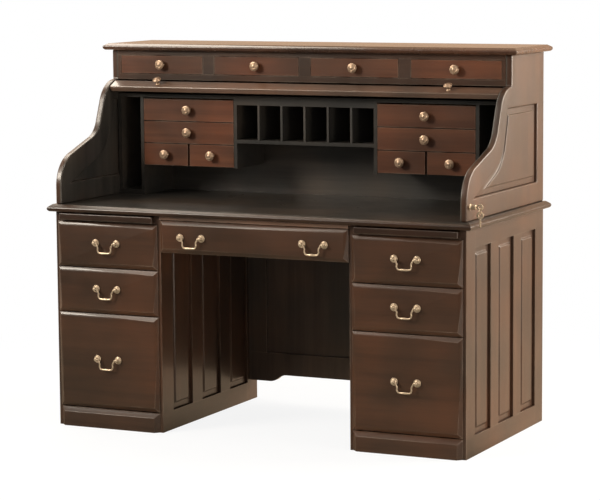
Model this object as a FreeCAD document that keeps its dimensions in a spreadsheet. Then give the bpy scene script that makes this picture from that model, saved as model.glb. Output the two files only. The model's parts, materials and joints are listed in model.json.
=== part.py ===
"""Roll-top pedestal desk: two pedestals, a writing top, and an upper case closed by a slatted roll.

Millimetres. +X is the viewer's right, +Y the rear, +Z up. The front faces -Y, and the floor is z = 0.
"""
import FreeCAD
import Part
import math
import os
import re

SIZES = [
    ("desk_width", 1500, "over the outer faces of the pedestals"),
    ("carcass_depth", 704, "front to rear of the pedestals"),
    ("front_reach", 340, "pedestal front plane ahead of the origin"),
    ("desk_height", 760, "floor to writing surface"),
    ("total_height", 1290, "floor to top of the upper case"),
    ("fit_gap", 0.4, "running clearance between moving wood and its seat"),
    ("top_thickness", 24, "writing top"),
    ("top_overhang", 24, "writing top beyond the pedestals at front and sides"),
    ("top_rear_overhang", 18, "writing top and top board beyond the back"),
    ("edge_tip", 9, "straight nose of both moulded edges"),
    ("edge_bevel", 14, "run of the slope above the nose"),
    ("edge_cove", 6, "run of the slope below the nose"),
    ("edge_cove_rise", 5, "rise of the slope below the nose"),
    ("board_thickness", 22, "top board of the upper case"),
    ("board_overhang", 26, "top board beyond the upper case"),
    ("pedestal_width", 404, "each pedestal"),
    ("side_thickness", 22, "pedestal side frames"),
    ("stile_width", 75, "outer stiles of a side frame"),
    ("mullion_width", 70, "stiles between two panels"),
    ("frame_top_rail", 64, "upper rail of a side frame"),
    ("frame_foot_rail", 66, "lower rail of a side frame"),
    ("panel_thickness", 8, "plate of a side panel"),
    ("panel_recess", 9, "frame face to panel plate"),
    ("panel_margin", 20, "plate showing round the raised field"),
    ("panel_rise", 5, "raised field above the plate"),
    ("plinth_height", 66, "plinth under the lowest drawer"),
    ("plinth_thickness", 16, "plinth board"),
    ("plinth_inset", 10, "plinth end to pedestal face"),
    ("front_lip", 4, "straight edge of a drawer front"),
    ("front_bevel_depth", 10, "drawer front bevel, out of the face"),
    ("front_bevel", 14, "drawer front bevel, along the face"),
    ("front_inset", 10, "drawer front end to pedestal face"),
    ("front_gap", 4, "between two drawer fronts"),
    ("file_front_share", 0.5144, "file drawer front, of the height of the three fronts"),
    ("slide_thickness", 22, "pull-out writing slide"),
    ("slide_reach", 20, "slide ahead of the pedestal front"),
    ("slide_rear_gap", 224, "slide to pedestal rear"),
    ("slide_gap", 4, "slide to writing top"),
    ("slide_seat", 6, "slide to the drawer front below it"),
    ("drawer_wall", 12, "drawer sides and backs"),
    ("drawer_floor", 8, "drawer bottoms"),
    ("drawer_rear_gap", 104, "pedestal drawer box to pedestal rear"),
    ("drawer_headroom", 22, "drawer box below the top of its front"),
    ("runner_width", 26, "runner under a drawer side"),
    ("runner_height", 14, "runner under a drawer side"),
    ("rail_depth", 50, "cross rail between two drawers"),
    ("rail_height", 16, "cross rail between two drawers"),
    ("back_thickness", 10, "pedestal back boards"),
    ("floor_thickness", 14, "pedestal bottom boards"),
    ("centre_gap", 14, "centre drawer front to writing top"),
    ("centre_front", 108, "height of the centre drawer front"),
    ("centre_rear_gap", 224, "centre drawer box to pedestal rear"),
    ("hanger_height", 12, "hanger strip under the centre drawer"),
    ("hanger_width", 24, "hanger strip under the centre drawer"),
    ("modesty_setback", 40, "modesty panel ahead of the pedestal rear"),
    ("modesty_thickness", 18, "modesty panel frame"),
    ("modesty_foot", 75, "lower edge of the modesty panel at its ends"),
    ("modesty_arch", 100, "lower edge of the modesty panel in the middle"),
    ("modesty_foot_width", 80, "low end of the modesty panel"),
    ("modesty_ogee", 70, "width of the curved rise"),
    ("modesty_rail", 178, "upper edge of the modesty lower rail"),
    ("modesty_stile", 70, "stiles of the modesty panel"),
    ("roll_side_thickness", 22, "curved upper sides"),
    ("case_front_share", 0.5682, "upper case front behind the pedestal front, of the depth"),
    ("upper_case_height", 125, "upper case with its top board"),
    ("neck_out_share", 0.18, "steep line at the case's underside, ahead of the case, of the curve's reach"),
    ("waist_out_share", 0.36, "waist of the curve ahead of the case, of the curve's reach"),
    ("waist_height_share", 0.5556, "waist of the curve, of the curve's height"),
    ("knee_height_share", 0.3481, "shallow line at the front, of the curve's height"),
    ("crown_round_share", 0.993, "round at the top of the curve, of the neck"),
    ("waist_round_share", 0.2165, "hollow of the curve, of the steep line"),
    ("knee_round_share", 0.591, "round at the front of the curve, of the knee's height"),
    ("roll_inset", 8, "slats inside the edge of the curved sides"),
    ("field_top_share", 0.8247, "upper edge of the curved side's panel, of the curve's height"),
    ("field_foot_share", 0.1728, "lower edge of the panel, of the curve's height"),
    ("field_rear", 62, "rear edge of the panel, ahead of the back"),
    ("field_head_share", 0.085, "front upper corner of the panel, of the curve's reach"),
    ("field_waist_out_share", 0.21, "waist of the panel, of the curve's reach"),
    ("field_waist_height_share", 0.4173, "waist of the panel, of the curve's height"),
    ("field_round_share", 0.333, "hollow of the panel's edge, of its steep line"),
    ("field_toe_share", 0.8225, "front lower corner of the panel, of the curve's reach"),
    ("field_step", 22, "margin of the panel's raised field"),
    ("upper_rail", 18, "upper rail of the upper case front"),
    ("upper_foot_rail", 20, "lower rail of the upper case front"),
    ("upper_stile", 44, "stiles between upper drawers"),
    ("upper_end_stile", 12, "stiles beside the curved sides"),
    ("upper_front_thickness", 18, "upper drawer fronts and the case front frame"),
    ("upper_floor", 10, "board under the upper drawers"),
    ("upper_rear_gap", 26, "upper drawer box to the case's back"),
    ("upper_back_thickness", 10, "back of the upper case"),
    ("shadow_gap", 1.5, "gap round an inset drawer front"),
    ("gallery_lead", 5, "gallery ahead of the upper case"),
    ("gallery_rear_gap", 94, "gallery to the rear of the desk, for the roll"),
    ("roll_space", 50, "gallery to the underside of the upper case, for the roll"),
    ("gallery_board", 12, "gallery boards"),
    ("gallery_base", 16, "gallery base boards under the letter slots"),
    ("gallery_back", 6, "back of the gallery"),
    ("slot_width", 78, "tall letter slots"),
    ("bank_width", 356, "each bank of gallery drawers"),
    ("bank_pitch_share", 0.228, "one gallery drawer row to the next, of the gallery's height"),
    ("bank_shelf", 5, "between two gallery drawer fronts"),
    ("pigeon_share", 0.3499, "pigeonhole opening, of the gallery's height"),
    ("pigeon_head", 20, "board over the pigeonholes"),
    ("pigeon_divider", 8, "pigeonhole dividers"),
    ("small_wall", 8, "sides of the small drawers"),
    ("gallery_drawer_gap", 7, "gallery drawer box to the gallery's back"),
    ("knob_rose", 10, "knob base radius"),
    ("knob_rose_thickness", 3, "knob base"),
    ("knob_neck", 4.5, "knob neck radius"),
    ("knob_reach", 17, "drawer face to middle of the knob head"),
    ("knob_head", 15, "knob head radius"),
    ("knob_crown", 6.5, "half thickness of the knob head"),
    ("bail_span", 80, "between the posts of a bail handle"),
    ("bail_drop", 33, "posts to lowest bar of a bail"),
    ("bail_bar", 3, "bail bar radius"),
    ("bail_grip", 50, "grip of a bail, between its necks"),
    ("bail_bend", 6, "bends of a bail bar"),
    ("rosette_radius", 12, "rosette of a bail handle"),
    ("rosette_thickness", 4, "rosette of a bail handle"),
    ("post_radius", 4.5, "post of a bail handle"),
    ("post_reach", 19, "drawer face to end of the post"),
    ("bail_setback", 5, "end of the post to bail axis"),
    ("bail_gap", 0.5, "post to bail"),
    ("bail_raise", 8, "bail axis above the middle of a deep drawer front"),
    ("centre_bail_share", 0.6474, "bails of the centre drawer, of its half width from the middle"),
    ("slat_thickness", 12, "slats of the roll"),
    ("slat_gap", 1.2, "between two slats"),
    ("slat_bevel", 3.8, "bevel of a slat's edges, along its face"),
    ("roll_end_gap", 6.5, "end of the parked roll above the writing top"),
    ("canvas_thickness", 1.5, "canvas behind the slats"),
    ("lip_length", 47, "bottom rail of the roll"),
    ("lip_thickness", 20, "bottom rail of the roll"),
    ("lip_park_deg", 41, "front edge of the parked rail, down from the crown"),
    ("track_drop_radius", 58, "rear bend of the roll's track"),
    ("track_rear_gap", 8, "track ahead of the upper back"),
    ("lift_knob_place", 545, "lift knobs either side of the middle"),
    ("lift_knob_head", 14, "lift knob head radius"),
    ("lift_knob_neck", 4.5, "lift knob neck radius"),
    ("lift_knob_reach", 18, "rail face to middle of the head"),
    ("lift_knob_crown", 6, "half thickness of the lift knob head"),
    ("lock_height", 46, "lock above the writing surface"),
    ("lock_setback", 32, "lock behind the front of the curved side"),
    ("lock_radius", 8, "lock cylinder"),
    ("lock_reach", 20, "lock cylinder out of the side"),
    ("key_gap", 0.4, "key to lock"),
    ("key_shank", 2.2, "key shank radius"),
    ("key_shank_length", 4.6, "key shank out of the lock"),
    ("key_bow", 10.5, "key bow radius"),
    ("key_eye", 5.5, "hole in the key bow, radius"),
    ("key_thickness", 2.4, "key bow"),
    ("ring_wire", 0.9, "key ring wire radius"),
    ("ring_radius", 9, "key ring"),
    ("ring_gap", 0.8, "ring to the keys that it hangs on and holds"),
    ("blade_length", 26, "blade of the spare key"),
    ("blade_width", 6, "blade of the spare key"),
    ("spare_bow", 12, "spare key bow radius"),
]
SIZE = dict((alias, float(value)) for alias, value, note in SIZES)
PIGEONHOLES = 6
BANK_ROWS = 3
STRIPS = 11
UPPER_DRAWERS = 4
SIDE_PANELS = 3
WORD = re.compile(r"[a-z][a-z_]+")
ALONG_FRONT = FreeCAD.Rotation(FreeCAD.Vector(1, 0, 0), 90)
ALONG_RIGHT = FreeCAD.Rotation(FreeCAD.Vector(0, 1, 0), 90)
SIDEWAYS = FreeCAD.Rotation(FreeCAD.Vector(0, 0, 1), -90)

doc = FreeCAD.newDocument("RollTopDesk")
sheet = doc.addObject("Spreadsheet::Sheet", "Sizes")
for row, (alias, value, note) in enumerate(SIZES, start=1):
    sheet.set(f"A{row}", note)
    sheet.set(f"B{row}", str(value))
    sheet.setAlias(f"B{row}", alias)
doc.recompute()
nodes = []

# Places that several pieces share, written in the named sizes.
HALF = "desk_width / 2"
INNER = "(desk_width / 2 - pedestal_width)"
FRONT = "-front_reach"
REAR = "(carcass_depth - front_reach)"
UNDER_TOP = "(desk_height - top_thickness)"
UNDER_BOARD = "(total_height - board_thickness)"
ROLL_INSIDE = "(desk_width / 2 - roll_side_thickness)"
CASE_FRONT = "(carcass_depth * case_front_share - front_reach)"
CASE_FOOT = "(total_height - upper_case_height)"
GALLERY_FRONT = f"({CASE_FRONT} - gallery_lead)"
GALLERY_REAR = f"({REAR} - gallery_rear_gap)"
GALLERY_TOP = f"({CASE_FOOT} - roll_space)"
GALLERY_HEIGHT = f"({GALLERY_TOP} - gallery_board - desk_height)"
BANK_PITCH = f"({GALLERY_HEIGHT} * bank_pitch_share)"


def tied(expression):
    """An expression on the sheet's cells, from one written with their plain names."""

    def cell(word):
        return "Sizes." + word.group() if word.group() in SIZE else word.group()

    return WORD.sub(cell, expression)


def bind(item, **expressions):
    """Tie properties of an object to the sheet."""
    for name, expression in expressions.items():
        item.setExpression(name, tied(expression))


def place(item, x, y, z, turn=None):
    """Set an object at a place given by expressions, after an optional turn."""
    if turn is not None:
        item.Placement = FreeCAD.Placement(FreeCAD.Vector(), turn)
    for axis, expression in zip("xyz", (x, y, z)):
        item.setExpression("Placement.Base." + axis, tied(expression))
    return item


def board(name, x, y, z):
    """A square board between two expressions along each axis."""
    item = doc.addObject("Part::Box", name)
    bind(
        item,
        Length=f"({x[1]}) - ({x[0]})",
        Width=f"({y[1]}) - ({y[0]})",
        Height=f"({z[1]}) - ({z[0]})",
    )
    return place(item, x[0], y[0], z[0])


def taper_forward(name, x, y, z, inset, foot_inset):
    """A block that narrows towards the front, by inset at its head and ends and by foot_inset below."""
    item = doc.addObject("Part::Wedge", name)
    bind(
        item,
        Xmin=f"({x[0]}) + {inset}",
        Xmax=f"({x[1]}) - {inset}",
        Ymin=y[0],
        Ymax=y[1],
        Zmin=f"({z[0]}) + {foot_inset}",
        Zmax=f"({z[1]}) - {inset}",
        X2min=x[0],
        X2max=x[1],
        Z2min=z[0],
        Z2max=z[1],
    )
    return item


def taper_up(name, x, y, z, low_inset, high_inset):
    """A slab whose outline is set in by low_inset at its foot and high_inset at its head."""
    item = doc.addObject("Part::Wedge", name)
    bind(
        item,
        Xmin=f"({x[0]}) + {low_inset}",
        Xmax=f"({x[1]}) - {low_inset}",
        Ymin=z[0],
        Ymax=z[1],
        Zmin=f"-({y[1]}) + {low_inset}",
        Zmax=f"-({y[0]}) - {low_inset}",
        X2min=f"({x[0]}) + {high_inset}",
        X2max=f"({x[1]}) - {high_inset}",
        Z2min=f"-({y[1]}) + {high_inset}",
        Z2max=f"-({y[0]}) - {high_inset}",
    )
    item.Placement = FreeCAD.Placement(FreeCAD.Vector(), ALONG_FRONT)
    return item


def taper_side(name, x, y, z, inset, outward):
    """A field that narrows by inset towards +X or -X, as outward says."""
    item = doc.addObject("Part::Wedge", name)
    wide, narrow = ("", "2") if outward > 0 else ("2", "")
    spans = {
        "Ymin": x[0],
        "Ymax": x[1],
        f"X{wide}min": f"-({y[1]})",
        f"X{wide}max": f"-({y[0]})",
        f"X{narrow}min": f"-({y[1]}) + {inset}",
        f"X{narrow}max": f"-({y[0]}) - {inset}",
        f"Z{wide}min": z[0],
        f"Z{wide}max": z[1],
        f"Z{narrow}min": f"({z[0]}) + {inset}",
        f"Z{narrow}max": f"({z[1]}) - {inset}",
    }
    bind(item, **spans)
    item.Placement = FreeCAD.Placement(FreeCAD.Vector(), SIDEWAYS)
    return item


def fused(name, pieces):
    """One solid from pieces that share faces or overlap."""
    item = doc.addObject("Part::MultiFuse", name)
    item.Shapes = pieces
    item.Refine = True
    return item


def rod(name, radius, length, x, y, z, turn=ALONG_FRONT):
    """A round bar that starts at a place and runs forward unless turned otherwise."""
    item = doc.addObject("Part::Cylinder", name)
    bind(item, Radius=radius, Height=length)
    return place(item, x, y, z, turn)


def node(label, pieces):
    """A named node made of one piece or of a group of separate solids."""
    if len(pieces) == 1:
        item = pieces[0]
    else:
        item = doc.addObject("Part::Compound", label)
        item.Links = pieces
    item.Label = label
    nodes.append(item)
    return item


def shaped(name, shape):
    """An object whose outline needs arcs that the primitives lack."""
    item = doc.addObject("Part::Feature", name)
    item.Shape = shape
    return item


# Outlines made of straight lines with rounded corners, in the Y-Z plane.


def rounded_path(points, radii):
    """Straight and round stretches through corner points: each is (start, end, centre or None)."""
    stretches = []
    last = points[0]
    for before, corner, after, radius in zip(points, points[1:], points[2:], radii):
        into = unit(before, corner)
        out = unit(corner, after)
        turn = into[0] * out[1] - into[1] * out[0]
        half = math.acos(max(-1, min(1, into[0] * out[0] + into[1] * out[1]))) / 2
        reach = radius * math.tan(half)
        start = (corner[0] - into[0] * reach, corner[1] - into[1] * reach)
        end = (corner[0] + out[0] * reach, corner[1] + out[1] * reach)
        side = math.copysign(radius, turn)
        centre = (start[0] - into[1] * side, start[1] + into[0] * side)
        stretches.append((last, start, None))
        stretches.append((start, end, centre))
        last = end
    stretches.append((last, points[-1], None))
    return stretches


def unit(start, end):
    """Direction from one point to another."""
    run = math.dist(start, end)
    return ((end[0] - start[0]) / run, (end[1] - start[1]) / run)


def shifted(points, offset):
    """Corner points of the same lines moved offset to their left."""
    lines = []
    for start, end in zip(points, points[1:]):
        along = unit(start, end)
        lines.append(((start[0] - along[1] * offset, start[1] + along[0] * offset), along))
    moved = [lines[0][0]]
    for (first, along), (second, other) in zip(lines, lines[1:]):
        cross = along[0] * other[1] - along[1] * other[0]
        gap = (second[0] - first[0], second[1] - first[1])
        reach = (gap[0] * other[1] - gap[1] * other[0]) / cross
        moved.append((first[0] + along[0] * reach, first[1] + along[1] * reach))
    last, along = lines[-1]
    length = math.dist(points[-2], points[-1])
    moved.append((last[0] + along[0] * length, last[1] + along[1] * length))
    return moved


def edges_of(stretches, x):
    """The path's edges in the plane at x."""
    edges = []
    for start, end, centre in stretches:
        first = FreeCAD.Vector(x, *start)
        final = FreeCAD.Vector(x, *end)
        if centre is None:
            edges.append(Part.makeLine(first, final))
        else:
            middle = FreeCAD.Vector(x, *arc_middle(start, end, centre))
            edges.append(Part.Arc(first, middle, final).toShape())
    return edges


def arc_middle(start, end, centre):
    """Point half way along the short arc between two points."""
    radius = math.dist(start, centre)
    mean = ((start[0] + end[0]) / 2, (start[1] + end[1]) / 2)
    out = unit(centre, mean)
    return (centre[0] + out[0] * radius, centre[1] + out[1] * radius)


def outline_face(stretches, closing, x):
    """A face in the plane at x whose outline is a path closed by straight lines."""
    edges = edges_of(stretches, x)
    corners = [stretches[-1][1]] + closing + [stretches[0][0]]
    for start, end in zip(corners, corners[1:]):
        edges.append(Part.makeLine(FreeCAD.Vector(x, *start), FreeCAD.Vector(x, *end)))
    return Part.Face(Part.Wire(edges))


def plate(stretches, closing, x, thickness):
    """A plate with such an outline, from x towards +X."""
    return outline_face(stretches, closing, x).extrude(FreeCAD.Vector(thickness, 0, 0))


def path_point(stretches, distance):
    """Point at a distance along a path of straight and round stretches."""
    for start, end, centre in stretches:
        length = stretch_length(start, end, centre)
        if centre is None:
            if distance <= length:
                along = unit(start, end)
                return (start[0] + along[0] * distance, start[1] + along[1] * distance)
        else:
            radius = math.dist(start, centre)
            if distance <= length:
                first = math.atan2(start[1] - centre[1], start[0] - centre[0])
                cross = (start[0] - centre[0]) * (end[1] - centre[1])
                cross -= (start[1] - centre[1]) * (end[0] - centre[0])
                angle = first + math.copysign(distance / radius, cross)
                return (centre[0] + radius * math.cos(angle), centre[1] + radius * math.sin(angle))
        distance -= length
    along = unit(*stretches[-1][:2])
    return (end[0] + along[0] * distance, end[1] + along[1] * distance)


def chain(stretches, distance, lengths):
    """Ends of rigid links laid along a path from a distance on, and the distance of each end."""
    ends = [path_point(stretches, distance)]
    for length in lengths:
        low, high = distance, distance + 2 * length
        for step in range(60):
            middle = (low + high) / 2
            if math.dist(ends[-1], path_point(stretches, middle)) < length:
                low = middle
            else:
                high = middle
        distance = high
        ends.append(path_point(stretches, distance))
    return ends


# The curve of the upper sides, from the writing top up to the case front.


CASE_Y = SIZE["carcass_depth"] * SIZE["case_front_share"] - SIZE["front_reach"]
CASE_Z = SIZE["total_height"] - SIZE["upper_case_height"]
CURVE_REACH = CASE_Y + SIZE["front_reach"]
CURVE_HEIGHT = CASE_Z - SIZE["desk_height"]


def curve_point(out_share, height_share):
    """A point ahead of the case and above the writing top, by its shares of the curve's reach and height."""
    return (CASE_Y - CURVE_REACH * SIZE[out_share], SIZE["desk_height"] + CURVE_HEIGHT * SIZE[height_share])


def round_radius(before, corner, after, reach):
    """Radius of a rounded corner that starts at a reach from it."""
    into = unit(before, corner)
    out = unit(corner, after)
    return reach / math.tan(math.acos(into[0] * out[0] + into[1] * out[1]) / 2)


def roll_corners():
    """Corner points of the curved front edge."""
    front = -SIZE["front_reach"]
    knee = (front, SIZE["desk_height"] + CURVE_HEIGHT * SIZE["knee_height_share"])
    waist = curve_point("waist_out_share", "waist_height_share")
    neck = (CASE_Y - CURVE_REACH * SIZE["neck_out_share"], CASE_Z)
    return [(front, SIZE["desk_height"]), knee, waist, neck, (CASE_Y, CASE_Z)]


def roll_radii(corners):
    """Radii of the knee, the waist and the crown of the curved front edge."""
    foot, knee, waist, neck, end = corners
    return [
        round_radius(foot, knee, waist, math.dist(foot, knee) * SIZE["knee_round_share"]),
        round_radius(knee, waist, neck, math.dist(waist, neck) * SIZE["waist_round_share"]),
        round_radius(waist, neck, end, math.dist(neck, end) * SIZE["crown_round_share"]),
    ]


def track_stretches():
    """Path of the hinge line of the roll: the curve set in, the level run and the drop at the rear."""
    inset = SIZE["roll_inset"] + SIZE["slat_thickness"]
    inner = shifted(roll_corners(), -inset)
    rear = SIZE["carcass_depth"] - SIZE["front_reach"] - SIZE["upper_back_thickness"]
    rear -= SIZE["track_rear_gap"] + SIZE["slat_thickness"]
    level = inner[-1][1]
    corners = inner[:-1] + [(rear, level), (rear, SIZE["desk_height"])]
    knee, waist, crown = roll_radii(roll_corners())
    return rounded_path(corners, [knee - inset, waist + inset, crown - inset, SIZE["track_drop_radius"]])


def stretch_length(start, end, centre):
    """Length of a straight or round stretch."""
    if centre is None:
        return math.dist(start, end)
    radius = math.dist(start, centre)
    return 2 * radius * math.asin(math.dist(start, end) / (2 * radius))


def parked_distance(stretches):
    """Distance along the track of the front edge of the parked bottom rail."""
    covered = sum(stretch_length(*stretch) for stretch in stretches[:6])
    start, end, centre = stretches[5]
    return covered - math.dist(start, centre) * math.radians(SIZE["lip_park_deg"])


def parked_ends(stretches, strip):
    """Ends of the parked bottom rail and of the strips behind it, for a strip's length."""
    return chain(stretches, parked_distance(stretches), [SIZE["lip_length"]] + [strip] * STRIPS)


def strip_length(stretches):
    """Length of a strip, two slats on canvas, with which the parked roll ends just above the writing top."""
    lowest = SIZE["desk_height"] + SIZE["roll_end_gap"]
    low, high = 0, sum(stretch_length(*stretch) for stretch in stretches) / STRIPS
    for step in range(60):
        middle = (low + high) / 2
        if parked_ends(stretches, middle)[-1][1] > lowest:
            low = middle
        else:
            high = middle
    return low


def bar_between(name, start, end, low, high, trim, bevel):
    """A bar across the desk over a link's hinge line, from low to high above it, with bevelled edges."""
    along = unit(start, end)
    outside = (-along[1], along[0])
    length = math.dist(start, end)
    half = SIZE["desk_width"] / 2 - SIZE["roll_side_thickness"] - SIZE["fit_gap"]
    profile = []
    corners = ((trim, low), (length - trim, low), (length - trim - bevel, high), (trim + bevel, high))
    for reach, height in corners:
        y = start[0] + along[0] * reach + outside[0] * height
        z = start[1] + along[1] * reach + outside[1] * height
        profile.append(FreeCAD.Vector(-half, y, z))
    face = Part.Face(Part.makePolygon(profile + profile[:1]))
    return shaped(name, face.extrude(FreeCAD.Vector(2 * half, 0, 0)))


# Writing top and top board.


def moulded_board(label, x, y, foot, head, cove):
    """A board with a nosed edge: a slope under the nose, the nose, and a slope above it."""
    nose = f"({foot}) + edge_cove_rise"
    shoulder = f"({foot}) + edge_cove_rise + edge_tip"
    return node(
        label,
        [
            fused(
                label + "_slab",
                [
                    taper_up(label + "_cove", x, y, (foot, nose), cove, "0"),
                    board(label + "_nose", x, y, (nose, shoulder)),
                    taper_up(label + "_slope", x, y, (shoulder, head), "0", "edge_bevel"),
                ],
            )
        ],
    )


def tops():
    """The writing top and the top board."""
    reach = f"({HALF} + top_overhang)"
    moulded_board(
        "writing_top",
        (f"-{reach}", reach),
        (f"{FRONT} - top_overhang", f"{REAR} + top_rear_overhang"),
        UNDER_TOP,
        "desk_height",
        "edge_cove",
    )
    reach = f"({HALF} + board_overhang)"
    moulded_board(
        "top_board",
        (f"-{reach}", reach),
        (f"{CASE_FRONT} - board_overhang", f"{REAR} + top_rear_overhang"),
        UNDER_BOARD,
        "total_height",
        "edge_cove",
    )


# Pedestals.


def on_side(sign, near, far):
    """Two X places, near and far from the middle, on the right or mirrored to the left."""
    return (f"-({far})", f"-({near})") if sign == "-" else (near, far)


SIDES = (("left", "-"), ("right", "+"))
PEDESTAL_IN = (f"{INNER} + side_thickness", f"{HALF} - side_thickness")


def side_frame(name, x, face):
    """Stiles, rails and panels of one pedestal side. face is +1 where its show side looks to +X."""
    panel = f"((carcass_depth - 2 * stile_width - {SIDE_PANELS - 1} * mullion_width) / {SIDE_PANELS})"
    foot = "frame_foot_rail"
    head = f"{UNDER_TOP} - frame_top_rail"
    middle = (f"{FRONT} + stile_width", f"{REAR} - stile_width")
    frame = [
        board(name + "_front_stile", x, (FRONT, middle[0]), ("0", UNDER_TOP)),
        board(name + "_rear_stile", x, (middle[1], REAR), ("0", UNDER_TOP)),
        board(name + "_foot_rail", x, middle, ("0", foot)),
        board(name + "_head_rail", x, middle, (head, UNDER_TOP)),
    ]
    panels = []
    for index in range(SIDE_PANELS):
        start = f"({FRONT} + stile_width + {index} * ({panel} + mullion_width))"
        if index:
            mullion = (f"{start} - mullion_width", start)
            frame.append(board(f"{name}_mullion_{index}", x, mullion, (foot, head)))
        place_y = (start, f"{start} + {panel}")
        panels.append(side_panel(f"{name}_panel_{index + 1}", x, place_y, (foot, head), face))
    return frame, panels


def side_panel(name, x, y, z, face):
    """A plate set back in its frame, with a raised field."""
    if face > 0:
        plate_x = (f"{x[1]} - panel_recess - panel_thickness", f"{x[1]} - panel_recess")
        field_x = (plate_x[1], f"{plate_x[1]} + panel_rise")
    else:
        plate_x = (f"{x[0]} + panel_recess", f"{x[0]} + panel_recess + panel_thickness")
        field_x = (f"{plate_x[0]} - panel_rise", plate_x[0])
    field_y = (f"{y[0]} + panel_margin", f"{y[1]} - panel_margin")
    field_z = (f"{z[0]} + panel_margin", f"{z[1]} - panel_margin")
    base = board(name + "_plate", plate_x, y, z)
    field = taper_side(name + "_field", field_x, field_y, field_z, "panel_rise", face)
    return fused(name, [base, field])


def pedestals():
    """Both pedestals without their drawers."""
    panels = []
    plinths = []
    boards = []
    for side, sign in SIDES:
        outward = 1 if sign == "+" else -1
        outer = on_side(sign, f"{HALF} - side_thickness", HALF)
        inner = on_side(sign, INNER, f"{INNER} + side_thickness")
        outer_frame, outer_panels = side_frame(side + "_outer", outer, outward)
        inner_frame, inner_panels = side_frame(side + "_inner", inner, -outward)
        node(side + "_pedestal_frame", outer_frame + inner_frame)
        panels += outer_panels + inner_panels
        ends = on_side(sign, f"{INNER} + plinth_inset", f"{HALF} - plinth_inset")
        face = (f"{FRONT} - plinth_thickness", FRONT)
        height = ("0", "plinth_height")
        plinths.append(taper_forward(side + "_plinth", ends, face, height, "plinth_thickness", "0"))
        inside = on_side(sign, *PEDESTAL_IN)
        rear = (f"{REAR} - back_thickness", REAR)
        boards.append(board(side + "_back", inside, rear, ("0", UNDER_TOP)))
        floor = ("plinth_height - floor_thickness", "plinth_height")
        boards.append(board(side + "_floor", inside, (FRONT, rear[0]), floor))
    node("pedestal_panels", panels)
    node("plinths", plinths)
    node("pedestal_backs", boards)


# Heights of the pedestal drawer fronts, from the plinth up.
SLIDE_FOOT = f"({UNDER_TOP} - slide_gap - slide_thickness)"
FILE_FOOT = "(plinth_height + front_gap)"
FRONTS = f"({SLIDE_FOOT} - slide_seat - {FILE_FOOT} - 2 * front_gap)"
FILE_FRONT = f"({FRONTS} * file_front_share)"
SHALLOW_FRONT = f"(({FRONTS} - {FILE_FRONT}) / 2)"
MIDDLE_FOOT = f"({FILE_FOOT} + {FILE_FRONT} + front_gap)"
UPPER_FOOT = f"({MIDDLE_FOOT} + {SHALLOW_FRONT} + front_gap)"
PEDESTAL_DRAWERS = (
    ("file", FILE_FOOT, FILE_FRONT),
    ("middle", MIDDLE_FOOT, SHALLOW_FRONT),
    ("top", UPPER_FOOT, SHALLOW_FRONT),
)
DRAWER_REAR = f"({REAR} - drawer_rear_gap)"
CENTRE_HEAD = f"({UNDER_TOP} - centre_gap)"
CENTRE_FOOT = f"({CENTRE_HEAD} - centre_front)"
CENTRE_REAR = f"({REAR} - centre_rear_gap)"
FRONT_FACE = f"({FRONT} - front_lip - front_bevel_depth)"


def runners():
    """Runners and cross rails in the pedestals, and the hangers of the centre drawer."""
    strips = []
    for side, sign in SIDES:
        inside = on_side(sign, *PEDESTAL_IN)
        walls = (
            ("near", on_side(sign, PEDESTAL_IN[0], f"{PEDESTAL_IN[0]} + runner_width")),
            ("far", on_side(sign, f"{PEDESTAL_IN[1]} - runner_width", PEDESTAL_IN[1])),
        )
        levels = [(name, f"{foot} + runner_height") for name, foot, height in PEDESTAL_DRAWERS]
        levels.append(("slide", f"{SLIDE_FOOT} - fit_gap"))
        for name, head in levels:
            height = (f"{head} - runner_height", head)
            for wall, x in walls:
                label = f"{side}_{name}_{wall}_runner"
                start = f"{FRONT} + rail_depth" if name != "file" else FRONT
                strips.append(board(label, x, (start, DRAWER_REAR), height))
            if name != "file":
                label = f"{side}_{name}_rail"
                rail = (f"{head} - rail_height", head)
                strips.append(board(label, inside, (FRONT, f"{FRONT} + rail_depth"), rail))
        hanger = on_side(sign, f"{INNER} - hanger_width", INNER)
        height = (f"{CENTRE_FOOT} + front_gap", f"{CENTRE_FOOT} + front_gap + hanger_height")
        strips.append(board(side + "_hanger", hanger, (FRONT, CENTRE_REAR), height))
    node("drawer_runners", strips)


def modesty():
    """The panel between the pedestals, with its raised lower edge."""
    rear = f"({REAR} - modesty_setback)"
    front = f"({rear} - modesty_thickness)"
    head = f"({UNDER_TOP} - frame_top_rail)"
    foot = "modesty_rail"
    inside = (f"-{INNER} + modesty_stile", f"{INNER} - modesty_stile")
    pieces = [
        board("modesty_left_stile", (f"-{INNER}", inside[0]), (front, rear), (foot, UNDER_TOP)),
        board("modesty_right_stile", (inside[1], INNER), (front, rear), (foot, UNDER_TOP)),
        board("modesty_head_rail", inside, (front, rear), (head, UNDER_TOP)),
        board("modesty_plate", inside, (f"{front} + panel_recess", f"{rear} - fit_gap"), (foot, head)),
        shaped("modesty_foot_rail", arched_rail()),
    ]
    node("modesty_panel", pieces)


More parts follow.
